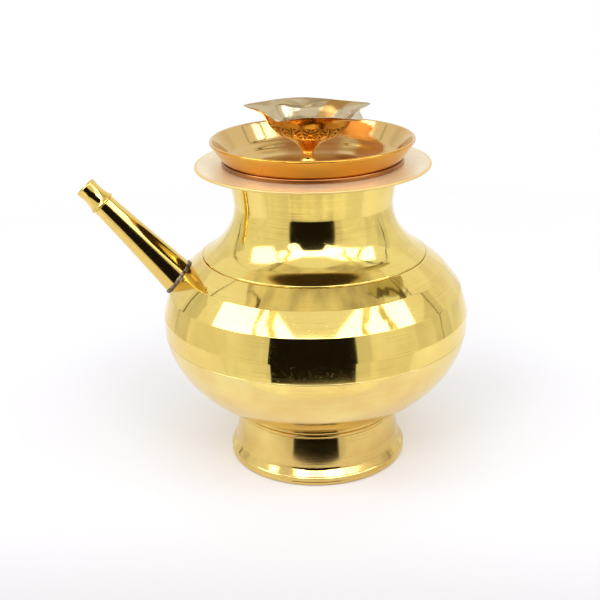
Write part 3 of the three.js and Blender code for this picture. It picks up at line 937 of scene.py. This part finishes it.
@dataclass(frozen=True)
class Spout:
    """The spout: a tapered pipe cut to sit on the shoulder, a skirted tip and a bead of solder."""

    finishes: Finishes
    form: PotForm
    seat_height: float = 87.7
    rise: float = math.radians(48.0)
    length: float = 47.4
    base_radius: float = 8.35
    tip_radius: float = 5.25
    taper_power: float = 1.2
    wall: float = 1.0
    gap: float = 0.15
    clearance: float = 0.4
    nozzle_length: float = 11.0
    nozzle_bore: float = 3.75
    spigot_length: float = 3.5
    solder_radius: float = 8.6
    solder_thickness: float = 0.62
    solder_lumps: float = 0.15

    def origin(self) -> Array:
        """Where the spout's axis meets the shoulder's straight band."""
        radius = float(np.interp(self.seat_height, self.form.ridge_heights, self.form.ridge_radii))
        return np.array([-radius, 0.0, self.seat_height])

    def axes(self) -> Array:
        """The spout's own frame: its third row runs along the bore."""
        sine, cosine = math.sin(self.rise), math.cos(self.rise)
        return np.array([[sine, 0.0, cosine], [0.0, 1.0, 0.0], [-cosine, 0.0, sine]])

    def pipe_radius(self, way: Array) -> Array:
        """Radius along the pipe: r = tip + (base - tip)(1 - t / L)^1.2, wider towards the shoulder."""
        left = np.clip(1.0 - way / self.length, 0.0, None)
        return self.tip_radius + (self.base_radius - self.tip_radius) * left**self.taper_power

    def landing(self, starts: Array, direction: Array, clearance: float) -> Array:
        """How far points travel along a direction until they are a clearance outside the pot.

        The distance is halved 40 times between a reach inside and a reach outside.

        Args:
            starts: the points.
            direction: the way out.
            clearance: how far outside they stop.

        Returns:
            One distance for each point.
        """
        reach, halvings = 16.0, 40
        low, high = np.full(starts.shape[:-1], -reach), np.full(starts.shape[:-1], reach)
        for _ in range(halvings):
            middle = (low + high) / 2.0
            out = self.form.outside(starts + middle[..., None] * direction) > clearance
            low, high = np.where(out, low, middle), np.where(out, middle, high)
        return (low + high) / 2.0

    def pipe(self) -> Piece:
        """The pipe, open at both ends, its lower edge cut to the curve of the shoulder.

        Each side starts where its line first clears the shoulder. As the radius there depends on
        the start, the cut is worked out six times over.

        Returns:
            The piece.
        """
        rows, rounds = 110, 6
        turn = angles(SPOUT_SIDES)
        ring = np.stack([np.cos(turn), np.sin(turn)], axis=1)
        grids = []
        for inset in (0.0, self.wall):
            start = np.zeros(SPOUT_SIDES)
            for _ in range(rounds):
                radius = self.pipe_radius(start) - inset
                flat = np.concatenate([ring * radius[:, None], np.zeros((SPOUT_SIDES, 1))], axis=1)
                level = placed(flat, self.axes(), self.origin())
                start = self.landing(level, self.axes()[2], self.clearance)
            way = start + (self.length - start) * steps(0.0, 1.0, rows)[:, None]
            radius = (self.pipe_radius(way) - inset)[..., None]
            grids.append(np.concatenate([ring * radius, way[..., None]], axis=-1))
        points = placed(np.concatenate([grids[0], grids[1][::-1]]), self.axes(), self.origin())
        run = np.concatenate([steps(0.0, self.length, rows), steps(self.length, 0.0, rows)])
        return Piece("spout_pipe", "spout_tube", Body.POT, "spun_brass", points, run, self.finishes.spout)

    def tip(self) -> Piece:
        """The tip: a spigot in the pipe, a sharp skirt over its end, a waist and a flared mouth.

        Returns:
            The piece.
        """
        seat = self.length + self.gap
        end, root, bore = seat + self.nozzle_length, seat - self.spigot_length, self.nozzle_bore
        spigot = self.tip_radius - self.wall - self.gap
        plug = outline((spigot, root), (spigot, seat), (6.0, seat), (6.05, seat + 0.12))
        waist = outline((6.05, seat + 0.45), (5.25, seat + 1.9), (4.65, seat + 6.05), (4.93, end - 1.0))
        lip = outline((5.02, end - 0.36), (4.93, end - 0.1), (4.78, end - 0.04), (4.45, end - 0.04),
                      (4.3, end - 0.17))
        inner = outline((bore, seat + 6.0), (bore, root))
        profile = filled(np.concatenate([plug, through(waist, 30), lip, inner]), 0.5)
        points = placed(revolved(profile, SPOUT_SIDES), self.axes(), self.origin())
        return Piece("spout_tip", "spout_nozzle", Body.POT, "spun_brass", points, run_of(profile),
                     self.finishes.spout)

    def solder(self) -> Piece:
        """The solder bead: a lumpy ring laid round the pipe's foot, where it meets the shoulder.

        The ring is a circle about the shoulder's normal, let down onto the pot. Its section is
        an oval whose size is a sum of thirteen waves round the ring, with small dents over them.

        Returns:
            The piece.
        """
        seat = np.array([self.seat_height])
        slope = self.form.skin(seat, -1.0) - self.form.skin(seat, 0.0)
        normal, side = np.array([-slope[0, 0], 0.0, slope[0, 1]]), np.array([0.0, 1.0, 0.0])
        axes = np.stack([np.cross(side, normal), side, normal])
        turn, swing = angles(SOLDER_SIDES), angles(22)[:, None]
        outward = np.stack([np.cos(turn), np.sin(turn), 0.0 * turn], axis=1)
        above = placed(self.solder_radius * outward + (0.0, 0.0, 2.0), axes, self.origin())
        ground = above + self.landing(above, normal, 0.0)[:, None] * normal
        shifts = np.random.default_rng(SEED + 40).uniform(0, math.tau, 13)
        lumps = sum(np.cos(n * turn + s) / (2.0 + 0.4 * n) for n, s in enumerate(shifts, start=1))
        dents = 1.0 + 0.09 * np.cos(5 * swing + 17 * turn) * np.cos(9 * turn + 2.0)
        size = (self.solder_thickness + self.solder_lumps * lumps) * dents
        across = (0.72 * size * np.cos(swing))[..., None] * (outward @ axes)
        upward = (size * (1.1 * np.sin(swing) + 0.75))[..., None] * normal
        return Piece("spout_solder_bead", "spout_solder", Body.POT, "solder", ground + across + upward,
                     steps(0.0, 5.0, len(swing)), self.finishes.solder)

    def pieces(self) -> list[Piece]:
        """The spout's three pieces."""
        return [self.pipe(), self.tip(), self.solder()]


@dataclass(frozen=True)
class CoverDish:
    """The dish that covers the mouth: a flared wall, a ledge on a turned ring and a sunken well.

    Inside it has two painted reflections: an orange-brown patch on the wall, with a dark edge, and a dark
    patch. The bearings of both are in degrees, and the dark patch lies between two radii.
    """

    finishes: Finishes
    seat: float = 140.2
    floor_radius: float = 38.9
    rim_radius: float = 45.4
    height: float = 10.9
    lift: float = 0.8
    wall: float = 1.0
    bead: float = 0.75
    ring_radius: float = 40.5
    ring_wall: float = 1.6
    well_radius: float = 36.3
    well_floor_radius: float = 33.0
    well_depth: float = 5.7
    centre_ring_radius: float = 16.2
    ripple_depth: float = 0.03
    # Where the painted reflections lie inside the dish.
    painted_reflection_bearings: Stretch = Stretch((26.0, 30.0), (50.0, 58.0))
    reflection_edge_bearings: Stretch = Stretch((23.0, 26.0), (27.0, 31.0))
    dark_reflection_bearings: Stretch = Stretch((62.0, 72.0), (105.0, 120.0))
    dark_reflection_radii: Stretch = Stretch((27.0, 33.0), (38.0, 43.0))

    def ring(self) -> Piece:
        """The turned ring that the dish stands on, dark with a painted shade of the crevice under the dish.

        Returns:
            The piece.
        """
        inner, outer, top = self.floor_radius - self.ring_wall, self.ring_radius, self.lift + 1.1
        corners = outline((inner, 0.0), (outer - 0.3, 0.0), (outer, 0.4), (outer - 0.1, top - 0.4),
                          (outer - 0.4, top), (self.floor_radius + 0.95, top),
                          (self.floor_radius + 0.25, self.lift), (inner, self.lift), (inner, 0.0))
        profile = filled(softened(corners, 0.15), 0.5)[:-1] + (0.0, self.seat)
        return Piece("dish_ring", "dish_foot_ring", Body.DISH, "dark_bronze", revolved(profile, POT_SIDES),
                     run_of(profile), self.finishes.dish_ring)

    def pan(self) -> Piece:
        """The pan: a well with a flat floor, a ledge, a straight flared wall and a rounded rim.

        Returns:
            The piece.
        """
        ledge, floor = self.lift + self.wall, self.wall - self.well_depth
        rim = arc((self.rim_radius - self.bead, self.height - self.bead), self.bead, -40.0, 150.0, 14)
        under = outline((0.0, -self.well_depth), (self.well_floor_radius - 1.6, -self.well_depth),
                        (self.well_floor_radius, 1.6 - self.well_depth), (self.well_radius, self.lift),
                        (self.floor_radius, self.lift), tuple(rim[0]))
        outer = filled(softened(under, 0.5), 0.9)
        wall = filled(outline(tuple(rim[-1]), (self.floor_radius + 0.1, ledge + 1.4)), 0.9)
        groove = self.centre_ring_radius
        bowl = outline((self.floor_radius - 0.9, ledge + 0.25), (self.well_radius, ledge - 0.75),
                       (34.4, floor + 3.7), (31.0, floor + 1.9), (25.0, floor + 0.55), (18.0, floor),
                       (groove + 0.4, floor))
        rings = outline((groove + 0.4, floor), (groove, floor - 0.12), (groove - 0.4, floor), (0.0, floor))
        lining = [wall[:-1], through(np.vstack([wall[-1:], bowl]), 60)[:-1], filled(rings, 0.9)]
        profile = np.concatenate([outer, rim[1:-1], *lining]) + (0.0, self.seat)
        points = revolved(profile, POT_SIDES)
        radius, height = profile[:, :1], profile[:, 1:]
        wave = ripple(angles(POT_SIDES)[None, :], height * 6.0, self.ripple_depth, 21)
        growth = wave * smoothstep(radius, 30.0, 40.0) / np.maximum(radius, 1.0)
        points[..., :2] *= (1.0 + growth)[..., None]
        crest = len(outer) + 8  # the rim's first row that faces inwards
        within = (np.arange(len(profile)) >= crest).astype(float)[:, None]
        # The inside takes painted reflections: an orange-brown patch on the wall and a dark patch.
        shade, painted_reflection = self.patches(radius, height)
        return Piece("dish_pan_spun", "dish_pan", Body.DISH, "bronze_dish", points, run_of(profile),
                     self.finishes.dish, (True, True), shade * within, within * (1.0 - 0.95 * painted_reflection))

    def patches(self, radius: Array, height: Array) -> tuple[Array, Array]:
        """The painted reflections inside the dish: an orange-brown patch and a dark patch.

        The orange-brown patch leans by 3 degrees a millimetre and has a wavy edge.

        Args:
            radius: the radius at each point of the profile, as a column.
            height: the height at each point of the profile, as a column.

        Returns:
            How dark the metal is, and how much of it takes the painted orange-brown reflection, at each
            point of the grid.
        """
        turn = np.degrees(angles(POT_SIDES))[None, :]
        lean = turn - 3.0 * (height - self.seat) + 5.0 * np.sin(0.9 * height)
        on_wall = smoothstep(radius, 28.0, 32.0)
        # An orange-brown painted reflection on the wall, with a darker painted edge.
        painted_reflection = self.painted_reflection_bearings.cover(lean) * on_wall
        edge = self.reflection_edge_bearings.cover(lean) * on_wall
        # A dark painted reflection between two radii.
        dark_reflection = self.dark_reflection_bearings.cover(turn) * self.dark_reflection_radii.cover(radius)
        return np.clip(0.2 * edge + 0.72 * painted_reflection + 0.6 * dark_reflection, 0.0, 0.95), painted_reflection

    def pieces(self) -> list[Piece]:
        """The dish's two pieces."""
        return [self.ring(), self.pan()]


@dataclass(frozen=True)
class WickLip:
    """One lip of the lamp's rim: its bearing in degrees, and how far it reaches out and droops."""

    bearing: float
    reach: float
    droop: float


@dataclass(frozen=True)
class OilLamp:
    """The oil lamp: a turned foot, and a cup on a thin stem with five wick lips and a carved band."""

    finishes: Finishes
    offset: float = -2.1
    seat: float = 135.5
    foot_radius: float = 14.0
    groove_radii: tuple[float, ...] = (12.5, 8.5)
    groove_depth: float = 0.12
    groove_width: float = 0.35
    stem_radius: float = 2.6
    stem_height: float = 9.0
    stem_wall: float = 0.8
    gap: float = 0.15
    rim_height: float = 28.88
    rim_radius: float = 22.5
    lip_start: float = 24.9
    lips: tuple[WickLip, ...] = (
        WickLip(26.5, 8.5, 0.3),
        WickLip(96.5, 3.2, 0.4),
        WickLip(171.4, 6.5, 0.5),
        WickLip(237.2, 2.6, 2.2),
        WickLip(318.1, 7.2, 1.0),
    )
    lip_bluntness: float = 0.006
    lip_power: float = 1.2
    lean: float = math.radians(2.4)
    leaf_count: int = 16
    carving_low: float = 16.6
    carving_high: float = 22.8
    carving_depth: float = 0.3
    carving_ends: Stretch = Stretch((0.0, 0.06), (0.94, 1.0))
    # Where the painted reflection lies inside the cup.
    painted_reflection_bearings: Stretch = Stretch((22.0, 27.0), (46.0, 52.0))

    def base(self) -> Piece:
        """The foot: a disc with two turned grooves that sweeps up to the stem.

        Returns:
            The piece.
        """
        bore, edge = self.stem_radius - self.stem_wall, 1.2
        share = steps(0.0, 1.0, 30)
        radii = self.stem_radius + (self.foot_radius - 0.4 - self.stem_radius) * (1.0 - share) ** 3.3
        grooves = sum(np.exp(-((radii - middle) / self.groove_width) ** 2) for middle in self.groove_radii)
        heights = edge + (self.stem_height - edge) * share - self.groove_depth * grooves
        corners = outline((bore, 0.0), (self.foot_radius - 0.3, 0.0), (self.foot_radius, 0.3),
                          (self.foot_radius, 0.8))
        close = filled(outline((bore, self.stem_height), (bore, 0.4)), 0.8)
        profile = np.concatenate([filled(corners, 0.8), np.stack([radii, heights], axis=1), close])
        points = revolved(profile, LAMP_FOOT_SIDES) + (self.offset, 0.0, self.seat)
        return Piece("lamp_base", "lamp_foot", Body.LAMP, "copper_lamp", points, run_of(profile),
                     self.finishes.lamp)

    def leaves(self, angle: Array, height: Array) -> Array:
        """How deep the carving is, from 0 to 1, at angles and heights on the cup's outside.

        Each leaf hangs point down: it is as wide as the root of the height above its point. Its
        veins are slanted stripes that meet at a raised midrib, and a groove runs round it.

        Args:
            angle: angles about the lamp's axis.
            height: heights above the lamp's seat.

        Returns:
            The depth at each point.
        """
        share = (height - self.carving_low) / (self.carving_high - self.carving_low)
        cell = self.leaf_count * angle / math.tau
        aside = np.abs(cell - np.floor(cell) - 0.5)
        width = 0.5 * np.sqrt(np.clip(share, 0.0, 1.0))
        inside = smoothstep(width - aside, 0.0, 0.05)
        veins = smoothstep(np.sin(math.tau * (3.4 * share + 2.6 * aside)), -0.25, 0.45)
        midrib = 1.0 - smoothstep(aside, 0.03, 0.07)
        border = np.exp(-(((width - aside) - 0.03) / 0.035) ** 2)
        cut = np.clip(inside * veins * (1.0 - midrib) + border, 0.0, 1.0)
        return cut * self.carving_ends.cover(share)

    def cup(self) -> Piece:
        """The cup on its stem: turned, carved outside, drawn out at five lips and leant a little.

        Returns:
            The piece.
        """
        spigot = self.stem_radius - self.stem_wall - self.gap
        stem = outline((0.0, 3.0), (spigot, 3.0), (spigot, self.stem_height))
        outer = through(outline((self.stem_radius, self.stem_height), (3.3, 10.8), (6.8, 13.9),
                                (13.0, 17.3), (16.9, 20.6), (20.4, 25.7),
                                (self.rim_radius, self.rim_height - 0.5)), 150)
        edge = outline((self.rim_radius, self.rim_height - 0.15))
        inner = through(outline((self.rim_radius - 0.1, self.rim_height), (19.9, 26.9), (17.6, 23.4),
                                (14.6, 19.8), (9.8, 16.7), (0.0, 15.0)), 50)
        profile = np.concatenate([stem, outer, edge, inner])
        turn = angles(LAMP_CUP_SIDES)[None, :]
        row, lip = np.arange(len(profile))[:, None], len(stem) + len(outer)
        depth = self.leaves(turn, profile[:, 1:]) * ((row >= len(stem)) & (row < lip))
        rise = np.gradient(profile, axis=0)
        normal = np.stack([rise[:, 1], -rise[:, 0]], axis=1) / np.maximum(np.hypot(*rise.T), TINY)[:, None]
        cut = depth * self.carving_depth
        radius = np.maximum(profile[:, :1] - cut * normal[:, :1], 0.0)
        height = profile[:, 1:] - cut * normal[:, 1:]
        points = np.stack([radius * np.cos(turn), radius * np.sin(turn), height], axis=-1)
        points = self.leant(self.drawn(points)) + (self.offset, 0.0, self.seat)
        # A painted reflection inside the cup, past the lip: a patch that takes the outside's orange and is
        # darkened. The shade also darkens the carving by its depth.
        bearing = np.degrees(turn) + 1.6 * (profile[:, 1:] - 22.0)
        painted_reflection = self.painted_reflection_bearings.cover(bearing) * (row >= lip)
        return Piece("lamp_bowl", "lamp_cup", Body.LAMP, "copper_lamp", points, run_of(profile),
                     self.finishes.lamp, (True, True), 0.85 * depth + 0.5 * painted_reflection,
                     (row >= lip) - 0.85 * painted_reflection)

    def drawn(self, points: Array) -> Array:
        """Draws the five lips out of the rim.

        A full turn is shared out evenly between the lips and then bent to their bearings. At a
        share s of the way from one lip to the next, the metal goes out by reach (1 - b)^1.2 and
        down by droop (1 - b)^1.2, where b = sqrt(sin^2(pi s) + 0.006) rounds the lip's tip off.

        Args:
            points: the turned cup.

        Returns:
            The cup with its lips.
        """
        count = len(self.lips)
        table = np.array([(lip.bearing, lip.reach, lip.droop) for lip in (*self.lips, self.lips[0])])
        table[-1, 0] += 360.0
        place = np.arctan2(points[..., 1], points[..., 0]) / math.tau % 1.0 * count
        before = np.minimum(place.astype(int), count - 1)
        across = place - before
        bearing = np.radians(table[before, 0] * (1.0 - across) + table[before + 1, 0] * across)
        reach, droop = np.moveaxis(table[np.where(across < 0.5, before, before + 1), 1:], -1, 0)
        between = np.sqrt(np.sin(math.pi * across) ** 2 + self.lip_bluntness)
        pull = np.clip(1.0 - between, 0.0, None) / (1.0 - math.sqrt(self.lip_bluntness))
        pull = pull**self.lip_power * smoothstep(points[..., 2], self.lip_start, self.rim_height)
        radius = np.hypot(points[..., 0], points[..., 1]) + reach * pull
        height = points[..., 2] - droop * pull
        return np.stack([radius * np.cos(bearing), radius * np.sin(bearing), height], axis=-1)

    def leant(self, points: Array) -> Array:
        """Leans what is above the lamp's foot over about the Y axis, away from the spout.

        Args:
            points: the upright cup.

        Returns:
            The leaning cup.
        """
        leant = points.copy()
        across, above = points[..., 0], points[..., 2] - self.stem_height
        over = above > 0.0
        sine, cosine = math.sin(self.lean), math.cos(self.lean)
        leant[..., 0] = np.where(over, across * cosine + above * sine, across)
        height = self.stem_height + above * cosine - across * sine
        leant[..., 2] = np.where(over, height, points[..., 2])
        return leant

    def pieces(self) -> list[Piece]:
        """The lamp's two pieces."""
        return [self.base(), self.cup()]


# The studio


@dataclass(frozen=True)
class Softbox:
    """A soft lamp, placed by its bearing, its elevation and its size, all in degrees."""

    name: str
    bearing: float
    elevation: float
    width: float
    height: float
    radiance: float = 3.2
    distance: float = 1.5
    colour: Colour = (0.96, 0.97, 1.12)


@dataclass(frozen=True)
class Studio:
    """The camera, the pale table, the lamps and the cards round the pot.

    Bearings start straight ahead of the pot and grow towards +X. Bearings and elevations are in
    degrees as the centre sees them, and places and distances in metres.
    """

    centre: Vector
    lens: float = 66.0
    sensor: float = 36.0
    nearest: float = 0.01
    camera_place: tuple[float, float, float] = (-0.00704, -0.4777, 0.2552)
    pitch: float = 69.293
    roll: float = -1.324
    table_drop: float = 0.0002
    table_radius: float = 560.0
    soft_colour: Colour = (1.0, 0.99, 0.98)
    soft_level: float = 0.76
    wall_elevations: tuple[float, float] = (-27.0, 27.0)
    wall_distance: float = 0.97
    crease_distance: float = 0.84

    def camera(self) -> None:
        """Sets the camera where the photograph was taken from."""
        data = bpy.data.cameras.new("camera")
        data.lens, data.sensor_width, data.clip_start = self.lens, self.sensor, self.nearest
        camera = bpy.data.objects.new("camera", data)
        bpy.context.scene.collection.objects.link(camera)
        pitch, roll = math.radians(self.pitch), math.radians(self.roll)
        turn = Euler((pitch, 0.0, 0.0)).to_matrix().to_4x4() @ Matrix.Rotation(roll, 4, "Z")
        place = Vector(self.camera_place) + Vector((self.centre.x, 0.0, 0.0))
        camera.matrix_world = Matrix.Translation(place) @ turn
        bpy.context.scene.camera = camera

    def direction(self, bearing: float, elevation: float) -> Vector:
        """The direction from the pot at a bearing and an elevation, as a unit vector."""
        across, up = math.radians(bearing), math.radians(elevation)
        return Vector((math.sin(across) * math.cos(up), -math.cos(across) * math.cos(up), math.sin(up)))

    def softbox(self, box: Softbox) -> None:
        """Adds one soft lamp that faces the pot.

        Args:
            box: the lamp's place, size and light.
        """
        data = bpy.data.lights.new(box.name, "AREA")
        data.shape = "RECTANGLE"
        data.color = box.colour
        data.size = 2.0 * box.distance * math.tan(math.radians(box.width / 2.0))
        data.size_y = 2.0 * box.distance * math.tan(math.radians(box.height / 2.0))
        data.energy = box.radiance * math.pi * data.size * data.size_y
        lamp = bpy.data.objects.new(box.name, data)
        bpy.context.scene.collection.objects.link(lamp)
        away = self.direction(box.bearing, box.elevation)
        lamp.location = self.centre + away * box.distance
        lamp.rotation_euler = away.to_track_quat("Z", "Y").to_euler()
        lamp.visible_camera = False

    def card(self, name: str, corners: list[Vector], faces: list[tuple[int, ...]],
             material: bpy.types.Material) -> None:
        """Adds one card of the studio, unseen by the camera itself.

        Args:
            name: the card's name.
            corners: its points.
            faces: its faces, as tuples of point numbers.
            material: its material.
        """
        mesh = bpy.data.meshes.new(name)
        mesh.from_pydata([tuple(corner) for corner in corners], [], faces)
        mesh.materials.append(material)
        card = bpy.data.objects.new(name, mesh)
        bpy.context.scene.collection.objects.link(card)
        card.visible_camera = False
        card.visible_diffuse = False

    def ribbon(self, name: str, path: Array, width: Array, upright: bool, distance: float,
               material: bpy.types.Material) -> None:
        """Adds a card along a path of bearings and elevations, as wide as width, all in degrees.

        Args:
            name: the card's name.
            path: pairs of bearing and elevation.
            width: how wide the card is at each pair.
            upright: whether its width runs up and down, or else square to the path.
            distance: how far from the pot it hangs.
            material: its material.
        """
        way = np.gradient(path, axis=0)
        side = np.stack([-way[:, 1], way[:, 0]], axis=1) / np.maximum(np.hypot(*way.T), TINY)[:, None]
        side = np.array([0.0, 1.0]) if upright else side
        rows = [path + sign * side * width[:, None] / 2.0 for sign in (-1.0, 1.0)]
        points = [self.centre + self.direction(*pair) * distance for row in rows for pair in row.tolist()]
        count = len(path)
        faces = [(i, i + 1, i + 1 + count, i + count) for i in range(count - 1)]
        self.card(name, points, faces, material)

    def window(self, name: str, bearings: tuple[float, float], elevations: tuple[float, float],
               distance: float, material: bpy.types.Material) -> None:
        """Adds a curved card that fills a window of bearings and elevations as the pot sees it.

        Args:
            name: the card's name.
            bearings: the first and the last bearing.
            elevations: the lowest and the highest elevation.
            distance: how far from the pot it hangs.
            material: its material.
        """
        across = steps(*bearings, 17)
        low, high = elevations
        path = np.stack([across, np.full_like(across, (low + high) / 2.0)], axis=1)
        self.ribbon(name, path, np.full_like(across, high - low), True, distance, material)

    def overhead(self, name: str, low: tuple[float, float], high: tuple[float, float], rise: float,
                 material: bpy.types.Material) -> None:
        """Adds a level card over the pot.

        Args:
            name: the card's name.
            low: its lowest x and y from the pot's axis.
            high: its highest x and y from the pot's axis.
            rise: how far over the centre it hangs.
            material: its material.
        """
        corners = (low, (high[0], low[1]), high, (low[0], high[1]))
        points = [self.centre + Vector((*corner, rise)) for corner in corners]
        self.card(name, points, [(0, 1, 2, 3)], material)

    def crease(self, name: str, path: Array, width: float, seed: int, material: bpy.types.Material) -> None:
        """Adds a crease of the tent's cloth: a thin wavy ribbon that fades to nothing at its ends.

        Args:
            name: the card's name.
            path: pairs of bearing and elevation that it runs through.
            width: how wide it is at its middle.
            seed: which waves it has.
            material: its material.
        """
        line = through(path, 70)
        draw = np.random.default_rng(SEED + seed)
        share = steps(0.0, 1.0, len(line))
        for turns in (2, 5, 9):
            line[:, 0] += 2.2 / turns * np.sin(math.tau * (turns * share + draw.uniform()))
            line[:, 1] += 1.6 / turns * np.sin(math.tau * (turns * share + draw.uniform()))
        swell = width * np.sin(math.pi * share) * (0.7 + 0.3 * np.cos(math.tau * 3.0 * share))
        self.ribbon(name, line, swell, False, self.crease_distance, material)

    def table(self) -> None:
        """Adds the pale table: a disc of rings about the pot."""
        radii = np.concatenate([[0.0], steps(8.0, self.table_radius, 70)])
        grid = revolved(np.stack([radii, np.zeros_like(radii)], axis=1), TABLE_SIDES)
        number = np.arange(len(radii) * TABLE_SIDES).reshape(-1, TABLE_SIDES)
        number[0] = 0
        white = PaleTable("white_table", colour=(0.9, 0.897, 0.892), painted_shade_colour=(0.725, 0.713, 0.694),
                          clear_radius=260.0, faded_radius=540.0, near_depths=(50.0, 130.0), front=95.0)
        mesh = bpy.data.meshes.new("table")
        mesh.from_pydata((grid.reshape(-1, 3) * MM).tolist(), [], joined(ring_faces(number[::-1])))
        mesh.materials.append(white.build())
        table = bpy.data.objects.new("table", mesh)
        table.location = (self.centre.x, 0.0, -self.table_drop)
        bpy.context.scene.collection.objects.link(table)

    def world(self) -> None:
        """White all round for what is seen and mirrored, and a softer level for what it lights."""
        graph = Graph(bpy.data.worlds.new("white_tent"), "ShaderNodeOutputWorld")
        path = graph.node("ShaderNodeLightPath", {}).outputs
        seen = graph.math("MAXIMUM", path["Is Camera Ray"], path["Is Glossy Ray"])
        seen = graph.math("MAXIMUM", seen, path["Is Transmission Ray"])
        soft = graph.node("ShaderNodeBackground", {"Color": self.soft_colour, "Strength": self.soft_level})
        white = graph.node("ShaderNodeBackground", {"Color": (1.0, 1.0, 1.0), "Strength": 1.0})
        bpy.context.scene.world = graph.surface(graph.either(seen, soft, white))

    def softboxes(self) -> None:
        """The three soft lamps over the front."""
        for box in (
            Softbox("left_softbox", bearing=-56.0, elevation=41.0, width=60.0, height=25.0),
            Softbox("right_softbox", bearing=50.0, elevation=43.0, width=60.0, height=20.0),
            Softbox("middle_softbox", bearing=-4.0, elevation=43.0, width=56.0, height=10.5),
        ):
            self.softbox(box)

    def openings(self) -> None:
        """The dark opening in front with a pale wing beside it and a pale floor under it."""
        dark = StudioCard("dark_opening", (0.012, 0.01, 0.008)).build()
        self.window("dark_opening", (-34.3, 27.8), (-28.7, 37.6), 1.9, dark)
        wing = StudioCard("near_wing", (0.95, 0.93, 0.88), dimmest=0.86, grain=3.0).build()
        self.window("near_wing", (-56.0, -35.5), (-26.0, 36.0), 0.45, wing)
        floor = StudioCard("near_floor", (1.25, 1.2, 1.05), grain=4.0).build()
        self.window("near_floor", (-70.0, 70.0), (-60.0, -29.0), 1.85, floor)

    def ceiling(self) -> None:
        """The grey ceiling, the bright spot under its middle and an olive flag at its right."""
        grey = StudioCard("grey_ceiling", (0.95, 0.88, 0.74), dimmest=0.5, grain=2.2).build()
        self.overhead("grey_ceiling", (-0.7, -0.42), (0.7, 0.7), 1.0, grey)
        zenith = StudioCard("bright_zenith", (1.5, 1.42, 1.25)).build()
        self.overhead("bright_zenith", (-0.1, -0.11), (0.1, 0.11), 0.98, zenith)
        olive = StudioCard("olive_flag", (0.56, 0.5, 0.28)).build()
        path = through(outline((84, 61), (95, 57), (105, 50), (116, 42)), 24)
        width = 9.0 * np.sin(math.pi * steps(0.04, 0.96, len(path)))
        self.ribbon("olive_flag", path, width, False, 0.87, olive)

    def walls(self) -> None:
        """The cloth walls: upright panels side by side, some dimmer than the white all round.

        Each panel has its first and last bearing and its level of light.
        """
        panels = (
            (-150.0, -122.0, 0.94), (-122.0, -104.0, 0.8), (-104.0, -76.0, 1.04), (-76.0, -50.0, 1.0),
            (-50.0, -34.0, 0.84), (27.5, 38.0, 0.88), (38.0, 74.0, 1.05), (74.0, 92.0, 0.92),
            (92.0, 112.0, 0.8), (112.0, 150.0, 0.96),
        )
        for number, (left, right, level) in enumerate(panels):
            light = (level, 0.98 * level, 0.93 * level)
            cloth = StudioCard(f"wall_cloth_{number}", light, dimmest=0.86, grain=3.0).build()
            name = f"wall_panel_{number}"
            self.window(name, (left, right), self.wall_elevations, self.wall_distance, cloth)

    def creases(self) -> None:
        """The creases and seams of the cloth that the polished metal mirrors as thin curved lines."""
        seam = StudioCard("tent_seam", (0.16, 0.12, 0.07)).build()
        fold = StudioCard("soft_fold", (1.3, 1.15, 0.8), dimmest=0.6, grain=6.0).build()
        lines = (
            ("left_seam", outline((-121, -24), (-120, 8), (-117, 30), (-112, 52)), 2.2, seam),
            ("right_seam", outline((100, -24), (103, 10), (107, 34), (112, 54)), 2.0, seam),
            ("left_arch", outline((-33, 39), (-50, 51), (-69, 58), (-85, 60), (-97, 55)), 2.6, seam),
            ("right_arch", outline((30, 39), (54, 47), (75, 50), (94, 48), (110, 42)), 2.4, seam),
            ("right_hook", outline((80, 64), (90, 57), (99, 51), (107, 45), (110, 56)), 3.2, seam),
            ("left_fold", outline((-60, 27), (-52, 38), (-57, 47), (-47, 57)), 5.0, fold),
            ("middle_fold", outline((-40, 28), (-37, 38), (-44, 50), (-40, 58)), 9.0, fold),
            ("right_fold", outline((32, 30), (42, 38), (44, 46), (56, 52), (66, 58)), 6.0, fold),
            ("far_fold", outline((72, 30), (64, 40), (68, 50)), 8.0, fold),
        )
        for seed, (name, path, width, cloth) in enumerate(lines, start=60):
            self.crease(name, path, width, seed, cloth)

    def build(self) -> None:
        """Sets up the whole studio."""
        self.camera()
        self.world()
        self.table()
        self.softboxes()
        self.openings()
        self.ceiling()
        self.walls()
        self.creases()


def main() -> None:
    """Builds the studio and every piece, and reports each."""
    logging.basicConfig(level=logging.INFO, format="%(message)s")
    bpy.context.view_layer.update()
    bpy.context.scene.view_settings.view_transform = "Standard"
    low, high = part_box("rim_flange")
    axis = (low.x + high.x) / 2.0
    Studio(Vector((axis, 0.0, CENTRE_HEIGHT * MM))).build()
    finishes, form = Finishes(), PotForm()
    for maker in (Foot(finishes), Vessel(finishes, form), Spout(finishes, form), CoverDish(finishes),
                  OilLamp(finishes)):
        for piece in maker.pieces():
            piece.points = piece.points + (axis / MM, 0.0, 0.0)
            piece.build()


if __name__ == "__main__":
    main()
